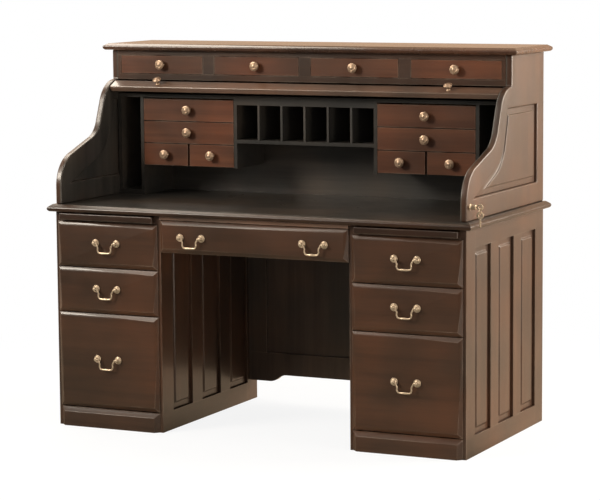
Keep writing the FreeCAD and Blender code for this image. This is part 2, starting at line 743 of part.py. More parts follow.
def arched_rail():
    """Lower rail of the modesty panel: low ends, a curved rise, and a level middle."""
    rear = SIZE["carcass_depth"] - SIZE["front_reach"] - SIZE["modesty_setback"]
    end = SIZE["desk_width"] / 2 - SIZE["pedestal_width"]
    low, high = SIZE["modesty_foot"], SIZE["modesty_arch"]
    first = end - SIZE["modesty_foot_width"]
    last = first - SIZE["modesty_ogee"]
    middle = (first + last) / 2
    level = (low + high) / 2
    quarter_share, bow_share = 0.5, 0.15
    bow = (high - low) * bow_share
    edges = []
    for side in (-1, 1):
        points = [
            FreeCAD.Vector(side * first, rear, low),
            FreeCAD.Vector(side * middle, rear, level),
            FreeCAD.Vector(side * last, rear, high),
        ]
        for start, final, lift in ((points[0], points[1], -bow), (points[1], points[2], bow)):
            through = start + (final - start) * quarter_share + FreeCAD.Vector(0, 0, lift)
            edges.append(Part.Arc(start, through, final).toShape())
        edges.append(Part.makeLine(FreeCAD.Vector(side * end, rear, low), points[0]))
        edges.append(line_up(side * end, rear, low, SIZE["modesty_rail"]))
    edges.append(Part.makeLine(FreeCAD.Vector(-last, rear, high), FreeCAD.Vector(last, rear, high)))
    rail = SIZE["modesty_rail"]
    edges.append(Part.makeLine(FreeCAD.Vector(-end, rear, rail), FreeCAD.Vector(end, rear, rail)))
    face = Part.Face(Part.Wire(Part.__sortEdges__(edges)))
    return face.extrude(FreeCAD.Vector(0, -SIZE["modesty_thickness"], 0))


def line_up(x, y, low, high):
    """An upright edge."""
    return Part.makeLine(FreeCAD.Vector(x, y, low), FreeCAD.Vector(x, y, high))


# Drawers and their handles.


def drawer_box(name, x, y, z, wall, floor):
    """Two sides, a back and a bottom behind a drawer front."""
    inside = (f"{x[0]} + {wall}", f"{x[1]} - {wall}")
    return [
        board(name + "_left", (x[0], inside[0]), y, z),
        board(name + "_right", (inside[1], x[1]), y, z),
        board(name + "_back", inside, (f"{y[1]} - {wall}", y[1]), z),
        board(name + "_bottom", inside, (y[0], f"{y[1]} - {wall}"), (z[0], f"{z[0]} + {floor}")),
    ]


def bevelled_front(name, x, z):
    """A drawer front that laps over the carcass, with a bevel all round."""
    lip = (f"{FRONT} - front_lip", FRONT)
    return fused(
        name + "_front",
        [
            board(name + "_lip", x, lip, z),
            taper_forward(name + "_bevel", x, (FRONT_FACE, lip[0]), z, "front_bevel", "front_bevel"),
        ],
    )


def knob(name, x, face, z):
    """A turned knob on a drawer face."""
    rose = rod(name + "_rose", "knob_rose", "knob_rose_thickness", x, face, z)
    neck = rod(name + "_neck", "knob_neck", "knob_reach", x, face, z)
    head = doc.addObject("Part::Ellipsoid", name + "_head")
    bind(head, Radius1="knob_crown", Radius2="knob_head", Radius3="knob_head")
    place(head, x, f"{face} - knob_reach", z, ALONG_FRONT)
    return fused(name + "_knob", [rose, neck, head])


def bail_posts(name, x, z):
    """The two rosettes and posts of a bail handle."""
    pieces = []
    for side, sign in SIDES:
        post_x = f"({x}) {sign} bail_span / 2"
        label = f"{name}_{side}"
        rosette = rod(label + "_rosette", "rosette_radius", "rosette_thickness", post_x, FRONT_FACE, z)
        post = rod(label + "_post", "post_radius", "post_reach", post_x, FRONT_FACE, z)
        pieces.append(fused(label + "_seat", [rosette, post]))
    return pieces


def bail(label, x, z):
    """The swinging bar of a bail handle: two swan necks and the grip, hanging between its posts."""
    end = SIZE["bail_span"] / 2 - SIZE["post_radius"] - SIZE["bail_gap"]
    neck = SIZE["bail_grip"] / 2
    drop = SIZE["bail_drop"]
    shoulder_share, waist_share = 0.4, 0.3
    half = [
        (end, 0),
        (end - (end - neck) * shoulder_share, 0),
        (neck, -drop * waist_share),
        (neck, -drop),
    ]
    corners = half + [(-across, height) for across, height in reversed(half)]
    bends = [SIZE["bail_bend"] for corner in corners[1:-1]]
    path = Part.Wire(edges_of(rounded_path(corners, bends), 0))
    section = Part.Wire(Part.makeCircle(SIZE["bail_bar"], FreeCAD.Vector(0, end, 0), FreeCAD.Vector(0, 1, 0)))
    item = shaped(label, path.makePipeShell([section], True, False))
    place(item, x, f"{FRONT_FACE} - post_reach + bail_setback", z, SIDEWAYS)
    return node(label, [item])


def pedestal_drawers():
    """Six pedestal drawers, the centre drawer, two writing slides and the bail handles."""
    for side, sign in SIDES:
        box_x = on_side(sign, f"{PEDESTAL_IN[0]} + fit_gap", f"{PEDESTAL_IN[1]} - fit_gap")
        front_x = on_side(sign, f"{INNER} + front_inset", f"{HALF} - front_inset")
        middle = f"{sign}({HALF} - pedestal_width / 2)"
        for name, foot, height in PEDESTAL_DRAWERS:
            label = f"{side}_{name}_drawer"
            front_z = (foot, f"{foot} + {height}")
            box_z = (f"{foot} + runner_height + fit_gap", f"{foot} + {height} - drawer_headroom")
            box_y = (FRONT, DRAWER_REAR)
            handle_z = f"({foot} + {height} / 2 + bail_raise)"
            pieces = [bevelled_front(label, front_x, front_z)]
            pieces += drawer_box(label, box_x, box_y, box_z, "drawer_wall", "drawer_floor")
            pieces += bail_posts(label, middle, handle_z)
            node(label, pieces)
            bail(f"{side}_{name}_bail", middle, handle_z)
        slide_y = (f"{FRONT} - slide_reach", f"{REAR} - slide_rear_gap")
        slide_z = (SLIDE_FOOT, f"{SLIDE_FOOT} + slide_thickness")
        node(side + "_writing_slide", [board(side + "_slide_board", box_x, slide_y, slide_z)])
    label = "centre_drawer"
    front_x = (f"-{INNER} + shadow_gap", f"{INNER} - shadow_gap")
    box_x = (f"-{INNER} + fit_gap", f"{INNER} - fit_gap")
    foot = f"{CENTRE_FOOT} + front_gap + hanger_height + fit_gap"
    box_z = (foot, f"{CENTRE_HEAD} - drawer_headroom")
    handle_z = f"({CENTRE_FOOT} + centre_front / 2)"
    pieces = [bevelled_front(label, front_x, (CENTRE_FOOT, CENTRE_HEAD))]
    pieces += drawer_box(label, box_x, (FRONT, CENTRE_REAR), box_z, "drawer_wall", "drawer_floor")
    for side, sign in SIDES:
        pieces += bail_posts(f"centre_{side}", f"{sign}{INNER} * centre_bail_share", handle_z)
    node(label, pieces)
    for side, sign in SIDES:
        bail(f"centre_{side}_bail", f"{sign}{INNER} * centre_bail_share", handle_z)


# Upper case.


def upper_case():
    """The case over the roll: front frame, guides, floor and back, then its four drawers."""
    stiles = f"(2 * upper_end_stile + {UPPER_DRAWERS - 1} * upper_stile)"
    width = f"((2 * {ROLL_INSIDE} - {stiles}) / {UPPER_DRAWERS})"
    across = (f"-{ROLL_INSIDE}", ROLL_INSIDE)
    face = (CASE_FRONT, f"({CASE_FRONT} + upper_front_thickness)")
    back = (f"{REAR} - upper_back_thickness", REAR)
    floor_top = f"({CASE_FOOT} + upper_foot_rail)"
    head = f"({UNDER_BOARD} - upper_rail)"
    pieces = [
        board("upper_foot_rail_board", across, face, (CASE_FOOT, floor_top)),
        board("upper_head_rail_board", across, face, (head, UNDER_BOARD)),
        board("upper_floor_board", across, (face[1], back[0]), (f"{floor_top} - upper_floor", floor_top)),
        board("upper_back_board", across, back, ("desk_height", UNDER_BOARD)),
    ]
    for index in range(UPPER_DRAWERS):
        start = f"(-{ROLL_INSIDE} + upper_end_stile + {index} * ({width} + upper_stile))"
        left = f"{start} - upper_stile" if index else f"-{ROLL_INSIDE}"
        pieces.append(board(f"upper_stile_{index}", (left, start), face, (floor_top, head)))
        guide = board(f"upper_guide_{index}", (left, start), (face[1], back[0]), (floor_top, UNDER_BOARD))
        pieces.append(guide)
        label = f"upper_drawer_{index + 1}"
        front_x = (f"{start} + shadow_gap", f"{start} + {width} - shadow_gap")
        front_z = (f"{floor_top} + shadow_gap", f"{head} - shadow_gap")
        box_z = (f"{floor_top} + fit_gap", f"{head} - small_wall")
        box_y = (face[1], f"{back[0]} - upper_rear_gap")
        box_x = (f"{start} + fit_gap", f"{start} + {width} - fit_gap")
        drawer = [board(label + "_front", front_x, face, front_z)]
        drawer += drawer_box(label, box_x, box_y, box_z, "small_wall", "small_wall")
        middle = f"({start} + {width} / 2)"
        drawer.append(knob(label, middle, face[0], f"(({front_z[0]} + {front_z[1]}) / 2)"))
        node(label, drawer)
    end = (f"{ROLL_INSIDE} - upper_end_stile", ROLL_INSIDE)
    pieces.append(board("upper_end_stile_board", end, face, (floor_top, head)))
    pieces.append(board("upper_end_guide", end, (face[1], back[0]), (floor_top, UNDER_BOARD)))
    node("upper_case", pieces)


# Gallery of drawers, letter slots and pigeonholes.


def gallery():
    """The gallery and its eight drawers."""
    depth = (GALLERY_FRONT, GALLERY_REAR)
    ceiling = f"({GALLERY_TOP} - gallery_board)"
    slot_out = f"({ROLL_INSIDE} - gallery_board)"
    bank_out = f"({slot_out} - slot_width - gallery_board)"
    bank_in = f"({bank_out} - bank_width)"
    pigeon = f"({bank_in} - gallery_board)"
    bank_foot = f"({ceiling} - {BANK_ROWS} * {BANK_PITCH})"
    pigeon_top = f"({ceiling} - pigeon_head)"
    pigeon_foot = f"({pigeon_top} - {GALLERY_HEIGHT} * pigeon_share)"
    inner_depth = (GALLERY_FRONT, f"{GALLERY_REAR} - gallery_back")
    back = (f"{GALLERY_REAR} - gallery_back", GALLERY_REAR)
    shelf = (f"{pigeon_foot} - gallery_board", pigeon_foot)
    pieces = [
        board("gallery_top_board", (f"-{ROLL_INSIDE}", ROLL_INSIDE), depth, (ceiling, GALLERY_TOP)),
        board("gallery_back_board", (f"-{slot_out}", slot_out), back, ("desk_height", ceiling)),
        board("pigeon_head", (f"-{pigeon}", pigeon), inner_depth, (pigeon_top, ceiling)),
        board("pigeon_shelf", (f"-{pigeon}", pigeon), inner_depth, shelf),
    ]
    for side, sign in SIDES:
        ends = on_side(sign, slot_out, ROLL_INSIDE)
        uprights = on_side(sign, bank_out, f"{bank_out} + gallery_board")
        inner = on_side(sign, pigeon, bank_in)
        bank = on_side(sign, bank_in, bank_out)
        slot = on_side(sign, f"{bank_out} + gallery_board", slot_out)
        full = ("desk_height", ceiling)
        hung = (f"{bank_foot} - bank_shelf", ceiling)
        pieces.append(board(side + "_gallery_end", ends, depth, full))
        pieces.append(board(side + "_slot_wall", uprights, inner_depth, full))
        pieces.append(board(side + "_bank_wall", inner, inner_depth, hung))
        base = ("desk_height", "desk_height + gallery_base")
        pieces.append(board(side + "_slot_base", slot, inner_depth, base))
        pieces += gallery_bank(side, bank, bank_foot, inner_depth)
    node("gallery_case", pieces)
    dividers = []
    pitch = f"((2 * {pigeon} + pigeon_divider) / {PIGEONHOLES})"
    for index in range(1, PIGEONHOLES):
        place_x = f"(-{pigeon} + {index} * {pitch})"
        sides = (f"{place_x} - pigeon_divider", place_x)
        dividers.append(board(f"pigeon_divider_{index}", sides, inner_depth, (pigeon_foot, pigeon_top)))
    node("pigeonhole_dividers", dividers)


def gallery_bank(side, bank, bank_foot, depth):
    """Shelves of one bank, and its two wide drawers over two narrow ones."""
    middle = f"(({bank[0]} + {bank[1]}) / 2)"
    start = f"({depth[0]} + gallery_board)"
    boards = []
    halves = (
        ("narrow_left", 0, (bank[0], f"{middle} - bank_shelf / 2")),
        ("narrow_right", 0, (f"{middle} + bank_shelf / 2", bank[1])),
        ("lower", 1, bank),
        ("upper", 2, bank),
    )
    for row in range(BANK_ROWS):
        head = f"({bank_foot} + {row} * {BANK_PITCH})"
        boards.append(board(f"{side}_shelf_{row}", bank, (start, depth[1]), (f"{head} - bank_shelf", head)))
    partition = (f"{middle} - bank_shelf / 2", f"{middle} + bank_shelf / 2")
    height = (bank_foot, f"{bank_foot} + {BANK_PITCH} - bank_shelf")
    boards.append(board(side + "_partition", partition, (start, depth[1]), height))
    for name, row, x in halves:
        foot = f"({bank_foot} + {row} * {BANK_PITCH})"
        head = f"({foot} + {BANK_PITCH} - bank_shelf)"
        label = f"{side}_gallery_{name}_drawer"
        front_x = (f"{x[0]} + shadow_gap", f"{x[1]} - shadow_gap")
        front_z = (f"{foot} - bank_shelf + 2 * shadow_gap", head)
        box_x = (f"{x[0]} + fit_gap", f"{x[1]} - fit_gap")
        box_y = (start, f"{depth[1]} - gallery_drawer_gap")
        box_z = (f"{foot} + fit_gap", f"{head} - small_wall")
        pieces = [board(label + "_front", front_x, (depth[0], start), front_z)]
        pieces += drawer_box(label, box_x, box_y, box_z, "small_wall", "small_wall")
        centre = f"(({front_z[0]} + {front_z[1]}) / 2)"
        pieces.append(knob(label, f"(({x[0]} + {x[1]}) / 2)", depth[0], centre))
        node(label, pieces)
    return boards


# Curved sides and the roll.


def roll_sides():
    """The two curved sides, each with a panel that follows its edge."""
    rear = SIZE["carcass_depth"] - SIZE["front_reach"]
    head = SIZE["total_height"] - SIZE["board_thickness"]
    thickness = SIZE["roll_side_thickness"]
    edge = rounded_path(roll_corners(), roll_radii(roll_corners()))
    closing = [(CASE_Y, head), (rear, head), (rear, SIZE["desk_height"])]
    toe = curve_point("field_toe_share", "field_foot_share")
    waist = curve_point("field_waist_out_share", "field_waist_height_share")
    brow = curve_point("field_head_share", "field_top_share")
    hollow = round_radius(toe, waist, brow, math.dist(waist, brow) * SIZE["field_round_share"])
    field = rounded_path([toe, waist, brow], [hollow])
    behind = rear - SIZE["field_rear"]
    field_closing = [(behind, brow[1]), (behind, toe[1])]
    panels = []
    for side, sign in SIDES:
        outward = 1 if sign == "+" else -1
        outer = outward * SIZE["desk_width"] / 2
        into = -outward
        frame = plate(edge, closing, outer, into * thickness)
        window = plate(field, field_closing, outer, into * thickness)
        node(side + "_roll_side", [shaped(side + "_roll_side", frame.cut(window))])
        start = outer + into * SIZE["panel_recess"]
        base = plate(field, field_closing, start, into * SIZE["panel_thickness"])
        raised = outline_face(field, field_closing, start).makeOffset2D(-SIZE["field_step"])
        raised = raised.extrude(FreeCAD.Vector(outward * SIZE["panel_rise"], 0, 0))
        panels.append(shaped(side + "_roll_panel", base.fuse(raised).removeSplitter()))
    node("roll_side_panels", panels)


def roll():
    """The bottom rail with its lift knobs, and the strips of slats behind it."""
    track = track_stretches()
    parked = parked_ends(track, strip_length(track))
    trim = SIZE["slat_gap"] / 2
    rail = bar_between("roll_rail_bar", parked[0], parked[1], 0, SIZE["lip_thickness"], trim, 0)
    node("roll_rail", [rail])
    along = unit(parked[0], parked[1])
    outside = FreeCAD.Vector(0, -along[1], along[0])
    middle = ((parked[0][0] + parked[1][0]) / 2, (parked[0][1] + parked[1][1]) / 2)
    knobs = []
    for side, sign in SIDES:
        x = SIZE["lift_knob_place"] * (1 if sign == "+" else -1)
        seat = FreeCAD.Vector(x, *middle) + outside * SIZE["lip_thickness"]
        neck = Part.makeCylinder(SIZE["lift_knob_neck"], SIZE["lift_knob_reach"], seat, outside)
        half = SIZE["lift_knob_crown"]
        start = seat + outside * (SIZE["lift_knob_reach"] - half)
        brim = start + outside * half
        head = Part.makeCone(SIZE["lift_knob_head"], SIZE["lift_knob_neck"], half, brim, outside)
        skirt = Part.makeCone(SIZE["lift_knob_neck"], SIZE["lift_knob_head"], half, start, outside)
        knobs.append(shaped(side + "_lift_knob", neck.fuse([skirt, head]).removeSplitter()))
    node("lift_knobs", knobs)
    canvas = SIZE["canvas_thickness"]
    for index in range(STRIPS):
        name = f"roll_strip_{index + 1:02d}"
        start, end = parked[index + 1], parked[index + 2]
        centre = ((start[0] + end[0]) / 2, (start[1] + end[1]) / 2)
        bevel = SIZE["slat_bevel"]
        pieces = [
            bar_between(name + "_canvas", start, end, 0, canvas, trim, 0),
            bar_between(name + "_front_slat", start, centre, canvas, SIZE["slat_thickness"], trim, bevel),
            bar_between(name + "_rear_slat", centre, end, canvas, SIZE["slat_thickness"], trim, bevel),
        ]
        node(name, pieces)


# Lock and keys.


def lock_and_keys():
    """The lock in the right curved side, the key in it, and the ring with the spare key."""
    lock_y = f"({FRONT} + lock_setback)"
    lock_z = "(desk_height + lock_height)"
    barrel = rod("lock_barrel", "lock_radius", "lock_reach", HALF, lock_y, lock_z, ALONG_RIGHT)
    node("lock_cylinder", [barrel])
    shank_x = f"({HALF} + lock_reach + key_gap)"
    bow_x = f"({shank_x} + key_shank_length + key_eye + (key_bow - key_eye) / 2)"
    shank_run = "key_shank_length + key_gap"
    shank = rod("key_shank_bar", "key_shank", shank_run, shank_x, lock_y, lock_z, ALONG_RIGHT)
    bow = key_bow("key_bow_plate", "key_bow", bow_x, lock_y, lock_z)
    node("lock_key", [fused("key_in_lock", [shank, bow])])
    ring_top = f"({lock_z} - key_eye + ring_wire + ring_gap)"
    ring_z = f"({ring_top} - ring_radius)"
    ring = doc.addObject("Part::Torus", "ring_wire_loop")
    bind(ring, Radius1="ring_radius", Radius2="ring_wire")
    place(ring, bow_x, lock_y, ring_z, ALONG_RIGHT)
    spare_z = f"({ring_z} - ring_radius - key_eye + ring_wire + ring_gap)"
    bow = key_bow("spare_bow_plate", "spare_bow", bow_x, lock_y, spare_z)
    half_width = "blade_width / 2"
    half_plate = "key_thickness / 2"
    head = f"{spare_z} - (spare_bow + key_eye) / 2"
    blade = board(
        "spare_blade",
        (f"{bow_x} - {half_width}", f"{bow_x} + {half_width}"),
        (f"{lock_y} - {half_plate}", f"{lock_y} + {half_plate}"),
        (f"{spare_z} - spare_bow - blade_length", head),
    )
    node("key_ring", [ring, fused("spare_key", [bow, blade])])


def key_bow(name, radius, x, y, z):
    """A round key bow with its eye, in an upright plane across the desk."""
    disc = rod(name + "_disc", radius, "key_thickness", x, f"{y} + key_thickness / 2", z)
    eye = rod(name + "_eye", "key_eye", "2 * key_thickness", x, f"{y} + key_thickness", z)
    bow = doc.addObject("Part::Cut", name)
    bow.Base = disc
    bow.Tool = eye
    return bow


def check_and_write():
    """Stop on any object that failed, then write one file for each node."""
    doc.recompute()
    for item in doc.Objects:
        if {"Invalid", "Error"} & set(item.State):
            raise RuntimeError(f"{item.Label} failed: {item.State}")
    for item in nodes:
        if item.Shape.isNull() or not item.Shape.isValid() or not item.Shape.Solids:
            raise RuntimeError(f"{item.Label} has no valid solid")
    os.makedirs("parts", exist_ok=True)
    for item in nodes:
        item.Shape.exportStep(f"parts/{item.Label}.step")
    print(len(nodes), "nodes,", sum(len(item.Shape.Solids) for item in nodes), "solids")


tops()
pedestals()
runners()
modesty()
pedestal_drawers()
upper_case()
gallery()
roll_sides()
roll()
lock_and_keys()
check_and_write()
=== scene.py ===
"""Looks of a roll-top pedestal desk: dark polished wood and aged brass on a pale studio floor.

Metres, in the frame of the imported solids: +X is the viewer's right, +Y the rear and +Z up.
"""
import json
import math

import bmesh
import bpy
from bpy.props import FloatProperty, FloatVectorProperty, IntProperty, PointerProperty
from mathutils import Matrix, Vector

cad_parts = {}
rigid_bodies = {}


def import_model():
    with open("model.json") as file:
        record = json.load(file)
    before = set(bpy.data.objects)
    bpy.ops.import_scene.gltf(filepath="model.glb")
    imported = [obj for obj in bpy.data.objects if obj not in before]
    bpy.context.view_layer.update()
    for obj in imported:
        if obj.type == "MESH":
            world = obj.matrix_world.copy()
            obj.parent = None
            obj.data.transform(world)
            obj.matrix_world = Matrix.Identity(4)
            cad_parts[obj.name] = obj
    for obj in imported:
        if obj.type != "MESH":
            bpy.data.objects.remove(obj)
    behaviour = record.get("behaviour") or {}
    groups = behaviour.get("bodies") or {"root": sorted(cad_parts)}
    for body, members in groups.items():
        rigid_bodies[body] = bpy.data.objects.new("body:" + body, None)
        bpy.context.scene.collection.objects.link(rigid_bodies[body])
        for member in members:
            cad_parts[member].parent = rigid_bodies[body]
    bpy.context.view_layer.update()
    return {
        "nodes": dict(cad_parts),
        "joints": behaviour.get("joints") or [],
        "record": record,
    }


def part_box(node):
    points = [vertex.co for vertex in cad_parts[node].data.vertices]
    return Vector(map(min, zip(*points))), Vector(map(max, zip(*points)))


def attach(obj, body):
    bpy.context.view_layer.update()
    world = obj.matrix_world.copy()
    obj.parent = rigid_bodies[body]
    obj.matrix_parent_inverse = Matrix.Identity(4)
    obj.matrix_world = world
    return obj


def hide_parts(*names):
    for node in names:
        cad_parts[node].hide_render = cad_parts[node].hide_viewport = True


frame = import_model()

bl_info = {
    "name": "Roll-top Desk",
    "version": (1, 0, 0),
    "blender": (4, 5, 0),
    "location": "View3D > Sidebar > Desk",
    "description": "Wood, brass and studio for a roll-top pedestal desk",
    "category": "Object",
}

NODES = frame["nodes"]
JOINTS = {joint["name"]: joint for joint in frame["joints"]}
BODIES = frame["record"]["behaviour"]["bodies"]
BODY_OF = {node: body for body, members in BODIES.items() for node in members}

FORWARD = Vector((0, -1, 0))
RIGHT = Vector((1, 0, 0))
UP = Vector((0, 0, 1))
MM = 0.001
WHITE = (1, 1, 1, 1)
BLACK = (0, 0, 0, 1)

# Nodes by what they are.
LARGE_DRAWERS = [name for name in NODES if name.endswith(("file_drawer", "middle_drawer", "top_drawer"))]
LARGE_DRAWERS.append("centre_drawer")
UPPER_DRAWERS = [name for name in NODES if name.startswith("upper_drawer")]
GALLERY_DRAWERS = [name for name in NODES if "_gallery_" in name]
SLIDES = [name for name in NODES if name.endswith("_writing_slide")]
STRIPS = [name for name in NODES if name.startswith("roll_strip")]
BAILS = [name for name in NODES if name.endswith("_bail")]

# Plain solids with no small features, whose edges can be rounded in full.
WELL_ROUNDED = {
    "left_roll_side",
    "right_roll_side",
    "writing_top",
    "top_board",
    "plinths",
    "pedestal_panels",
    "roll_rail",
}

# Widths of rounded edges. Nodes of boards that touch stay sharp.
SHARP = 0.0
KEY_EDGE = 0.0003
SLIGHT_EDGE = 0.0010
BACK_EDGE = 0.0012
FRONT_EDGE = 0.0022
TOP_EDGE = 0.0024
ROUND_EDGE = 0.0030
SIDE_EDGE = 0.0045
FINER_OVER = 0.002  # A wider edge than this is rounded in three steps, not two.
EDGE_ANGLE = math.radians(38)
WELD_REACH = 0.00002

# Places in the wood.
FRAME_RAILS = (0.066, 0.672)  # Heights under and over which a pedestal frame has level rails.
SIDE_INNER_FACE = 0.7335  # Half width between the curved sides.
LARGE_FRONT_REAR = -0.3398  # Rear of each kind of drawer front, where its bare box starts.
UPPER_FRONT_REAR = 0.0782
GALLERY_FRONT_REAR = 0.0672
GALLERY_EDGE_DEPTH = 0.002  # Depth of the gallery's darker front edges.

# Grain of the wood.
ALONG_SHARE = 0.045  # Width of a figure of the grain for its length.
ALONG_SHARES = {
    "X": (ALONG_SHARE, 1.0, 1.0),
    "Y": (1.0, ALONG_SHARE, 1.0),
    "Z": (1.0, 1.0, ALONG_SHARE),
}
BOARD_OFFSET = (7.3, 4.1, 9.7)  # Furthest move of the grain from one object to another.
FIGURE_SCALE = 17.0
STREAK_SCALE = 150.0
FIBRE_SCALE = 820.0
CLOUD_SCALE = 4.2
SMUDGE_SCALE = 11.0
FIGURE_SHARE = 0.78
STREAK_SHARE = 0.22
GRAIN_STOPS = (0.34, 0.5, 0.66)  # Noise values of the dark, the middle and the light tone.
CLOUD_TONES = ((0.72, 0.76, 0.80), (1.0, 0.96, 0.94), (1.28, 1.08, 0.95))
PORE_VALUES = (0.36, 0.46)
PORE_SHADE = 0.22
PORE_DEPTH = 0.00012
FIGURE_RELIEF = 0.35  # Height of the figure for the pores' height.
BUMP_STRENGTH = 0.35
# Lightened edges: partly real wear, partly a painted highlight on the arrises.
WORN_AND_HIGHLIT_VALUES = (0.35, 0.62)
WEAR_HIGHLIGHT_RADIUS = 0.0035
WEAR_HIGHLIGHT_TURNS = (0.995, 0.95)  # Cosines of the turn from a flat face to a worn edge.
WEAR_HIGHLIGHT_CLEAR = (0.6, 0.9)  # Open sky of an inner corner and of an outer edge.
WEAR_HIGHLIGHT_REACH = 0.008
# Normal Z over which a face takes the writing top's painted dark reflection.
REFLECTION_FACING_UP = (0.85, 0.99)
SMUDGE_GLOSS = 0.16
BARE_ROUGHER = 0.3
SPECULAR = 0.38
COAT_ROUGHNESS = 0.14

# Surface of the brass.
BLOTCH_SCALE = 240.0
SCRATCH_SCALE = 1500.0
BLOTCH_VALUES = (0.2, 0.5)
HOLLOW_REACH = 0.005
HOLLOW_CLEAR = (0.5, 0.95)
DULL_ROUGHER = 0.24
BRASS_RELIEF = 0.2
BRASS_DEPTH = 0.00008

# Turned and bent brass.
KNOB_LOBES = 10
KNOB_LOBE_DEPTH = 0.055
KNOB_LOBED = (0.0120, 0.0206)  # Heights of a knob between which it is scalloped.
KNOB_RISE = 0.00055
DRAWER_FACE = -0.354
BAIL_STEPS = 6
BAIL_SEGMENTS = 16
LIFT_AXIS = Vector((0, -0.42486, 0.90526))
LIFT_SEAT = (0.01612, 1.15199)  # Y and Z of the lift knobs' seats on the rail.

# Studio. A lamp has a name, a place, an aim, a size and the setting of its power.
LAMPS = (
    ("key_lamp", (-3.1, -3.7, 3.0), (-0.2, 0.0, 0.75), 1.5, "key_power"),
    ("over_lamp", (-2.5, -2.6, 3.6), (-0.3, -0.3, 0.6), 1.8, "over_power"),
    ("side_lamp", (3.3, 1.9, 1.8), (0.7, 0.1, 0.7), 2.4, "side_power"),
    ("edge_lamp", (3.4, -1.7, 0.8), (0.7, -0.2, 0.7), 1.0, "edge_power"),
    ("rim_lamp", (2.7, -0.4, 3.4), (0.7, 0.0, 0.9), 0.8, "rim_power"),
    ("back_lamp", (-1.9, 0.9, 3.2), (-0.3, -0.2, 0.8), 1.6, "back_power"),
)
FLOOR_SIDES = 96
FLOOR_SCALE = 7.0
FLOOR_VALUES = (0.3, 0.7)
FLOOR_TONES = ((0.80, 0.80, 0.795), (0.84, 0.84, 0.835))
FLOOR_ROUGHNESS = (0.78, 0.86)
FLOOR_SHADOW = (0.9, 2.2)  # Distances from the middle between which the shadow fades out.
FLOOR_NEAR_WHITE = 0.88
FLOOR_DEPTHS = (-0.5, 0.3)  # Y between which the mirrored floor goes from its front to its rear tone.
ROOM_DEPTHS = (-0.3, 0.45)
SCREEN_EDGE = (0.5, 0.84)  # Cosines of the angle to the dark screen at its soft edge.
SENSOR_WIDTH = 36.0
CLIP_END = 60.0


# Settings.


def colour(name, description, default):
    """A colour setting."""
    return FloatVectorProperty(
        name=name, description=description, default=default, subtype="COLOR", min=0, max=1
    )


def length(name, description, default):
    """A length setting in metres."""
    return FloatProperty(name=name, description=description, default=default, unit="LENGTH", precision=4)


def share(name, description, default):
    """A setting between nothing and all."""
    return FloatProperty(
        name=name, description=description, default=default, subtype="FACTOR", min=0, max=1
    )


def power(name, description, default):
    """The power of a lamp in watts."""
    return FloatProperty(name=name, description=description, default=default, unit="POWER")


def angle(name, description, default):
    """An angle setting in radians."""
    return FloatProperty(name=name, description=description, default=default, subtype="ANGLE")


class DeskWood(bpy.types.PropertyGroup):
    """Finish of the wood: the dark and light streaks of each kind, its polish, its edges lightened partly by
    wear and partly by a painted highlight, and a painted dark reflection on the writing top's face.
    """

    case_dark: colour("Case dark", "Dark streaks of the case", (0.031, 0.0158, 0.0098))
    case_light: colour("Case light", "Light streaks of the case", (0.056, 0.0285, 0.0168))
    front_dark: colour("Front dark", "Dark streaks of the large fronts", (0.0355, 0.0174, 0.0095))
    front_light: colour("Front light", "Light streaks of the large fronts", (0.0565, 0.0258, 0.0134))
    small_dark: colour("Small front dark", "Dark streaks of the small fronts", (0.056, 0.0215, 0.0108))
    small_light: colour("Small front light", "Light streaks of the small fronts", (0.110, 0.0425, 0.0205))
    inside_dark: colour("Inside dark", "Dark streaks of the gallery", (0.029, 0.0262, 0.0225))
    inside_light: colour("Inside light", "Light streaks of the gallery", (0.058, 0.0510, 0.0435))
    # The writing top's upward face is darker than its wood: a painted dark reflection of the gallery.
    lid_dark: colour("Writing top dark", "Dark streaks of the writing top's face", (0.021, 0.0185, 0.0158))
    lid_light: colour("Writing top light", "Light streaks of the writing top's face", (0.040, 0.0345, 0.0292))
    top_dark: colour("Top dark", "Dark streaks of the top board and the slats", (0.030, 0.0145, 0.009))
    top_light: colour("Top light", "Light streaks of the top board and the slats", (0.080, 0.0365, 0.020))
    slide_dark: colour(
        "Slide dark", "Dark streaks of the slides and the writing top's edge", (0.017, 0.0084, 0.0049)
    )
    slide_light: colour(
        "Slide light", "Light streaks of the slides and the writing top's edge", (0.029, 0.0138, 0.0078)
    )
    box_dark: colour("Drawer box dark", "Dark streaks of the bare drawer boxes", (0.20, 0.115, 0.055))
    box_light: colour("Drawer box light", "Light streaks of the bare drawer boxes", (0.42, 0.27, 0.145))
    # On the fillet these lighter tones are partly its own wood, partly painted light lifting the shade under
    # the writing top.
    rail_dark: colour("Rail dark", "Dark streaks of the roll's rail and the fillet", (0.056, 0.033, 0.022))
    rail_light: colour("Rail light", "Light streaks of the roll's rail and the fillet", (0.125, 0.074, 0.050))
    modesty_dark: colour("Modesty panel dark", "Dark streaks of the modesty panel", (0.033, 0.0235, 0.0182))
    modesty_light: colour("Modesty panel light", "Light streaks of the modesty panel", (0.058, 0.0415, 0.032))
    # Tone of the lightened edges: partly real wear, partly a painted highlight along the arrises.
    arris_wear_and_highlight: colour("Arris", "Rubbed edges", (0.23, 0.175, 0.13))
    fillet_face: length("Fillet face", "Front of the fillet under the writing top", -0.349)
    fillet_depth: length("Fillet depth", "Depth of the fillet", 0.012)
    fillet_gap: length("Fillet gap", "Centre drawer to the fillet", 0.002)
    roughness: share("Roughness", "Roughness of the polished wood", 0.33)
    coat: share("Polish", "Clear polish over the wood", 0.18)
    # Strength of the lightened edges: partly wear, partly painted highlight.
    wear_and_highlight: share("Wear", "Lightening along the edges", 0.6)
    front_shade: share("Front shade", "Darkening of the gallery's front edges", 0.5)


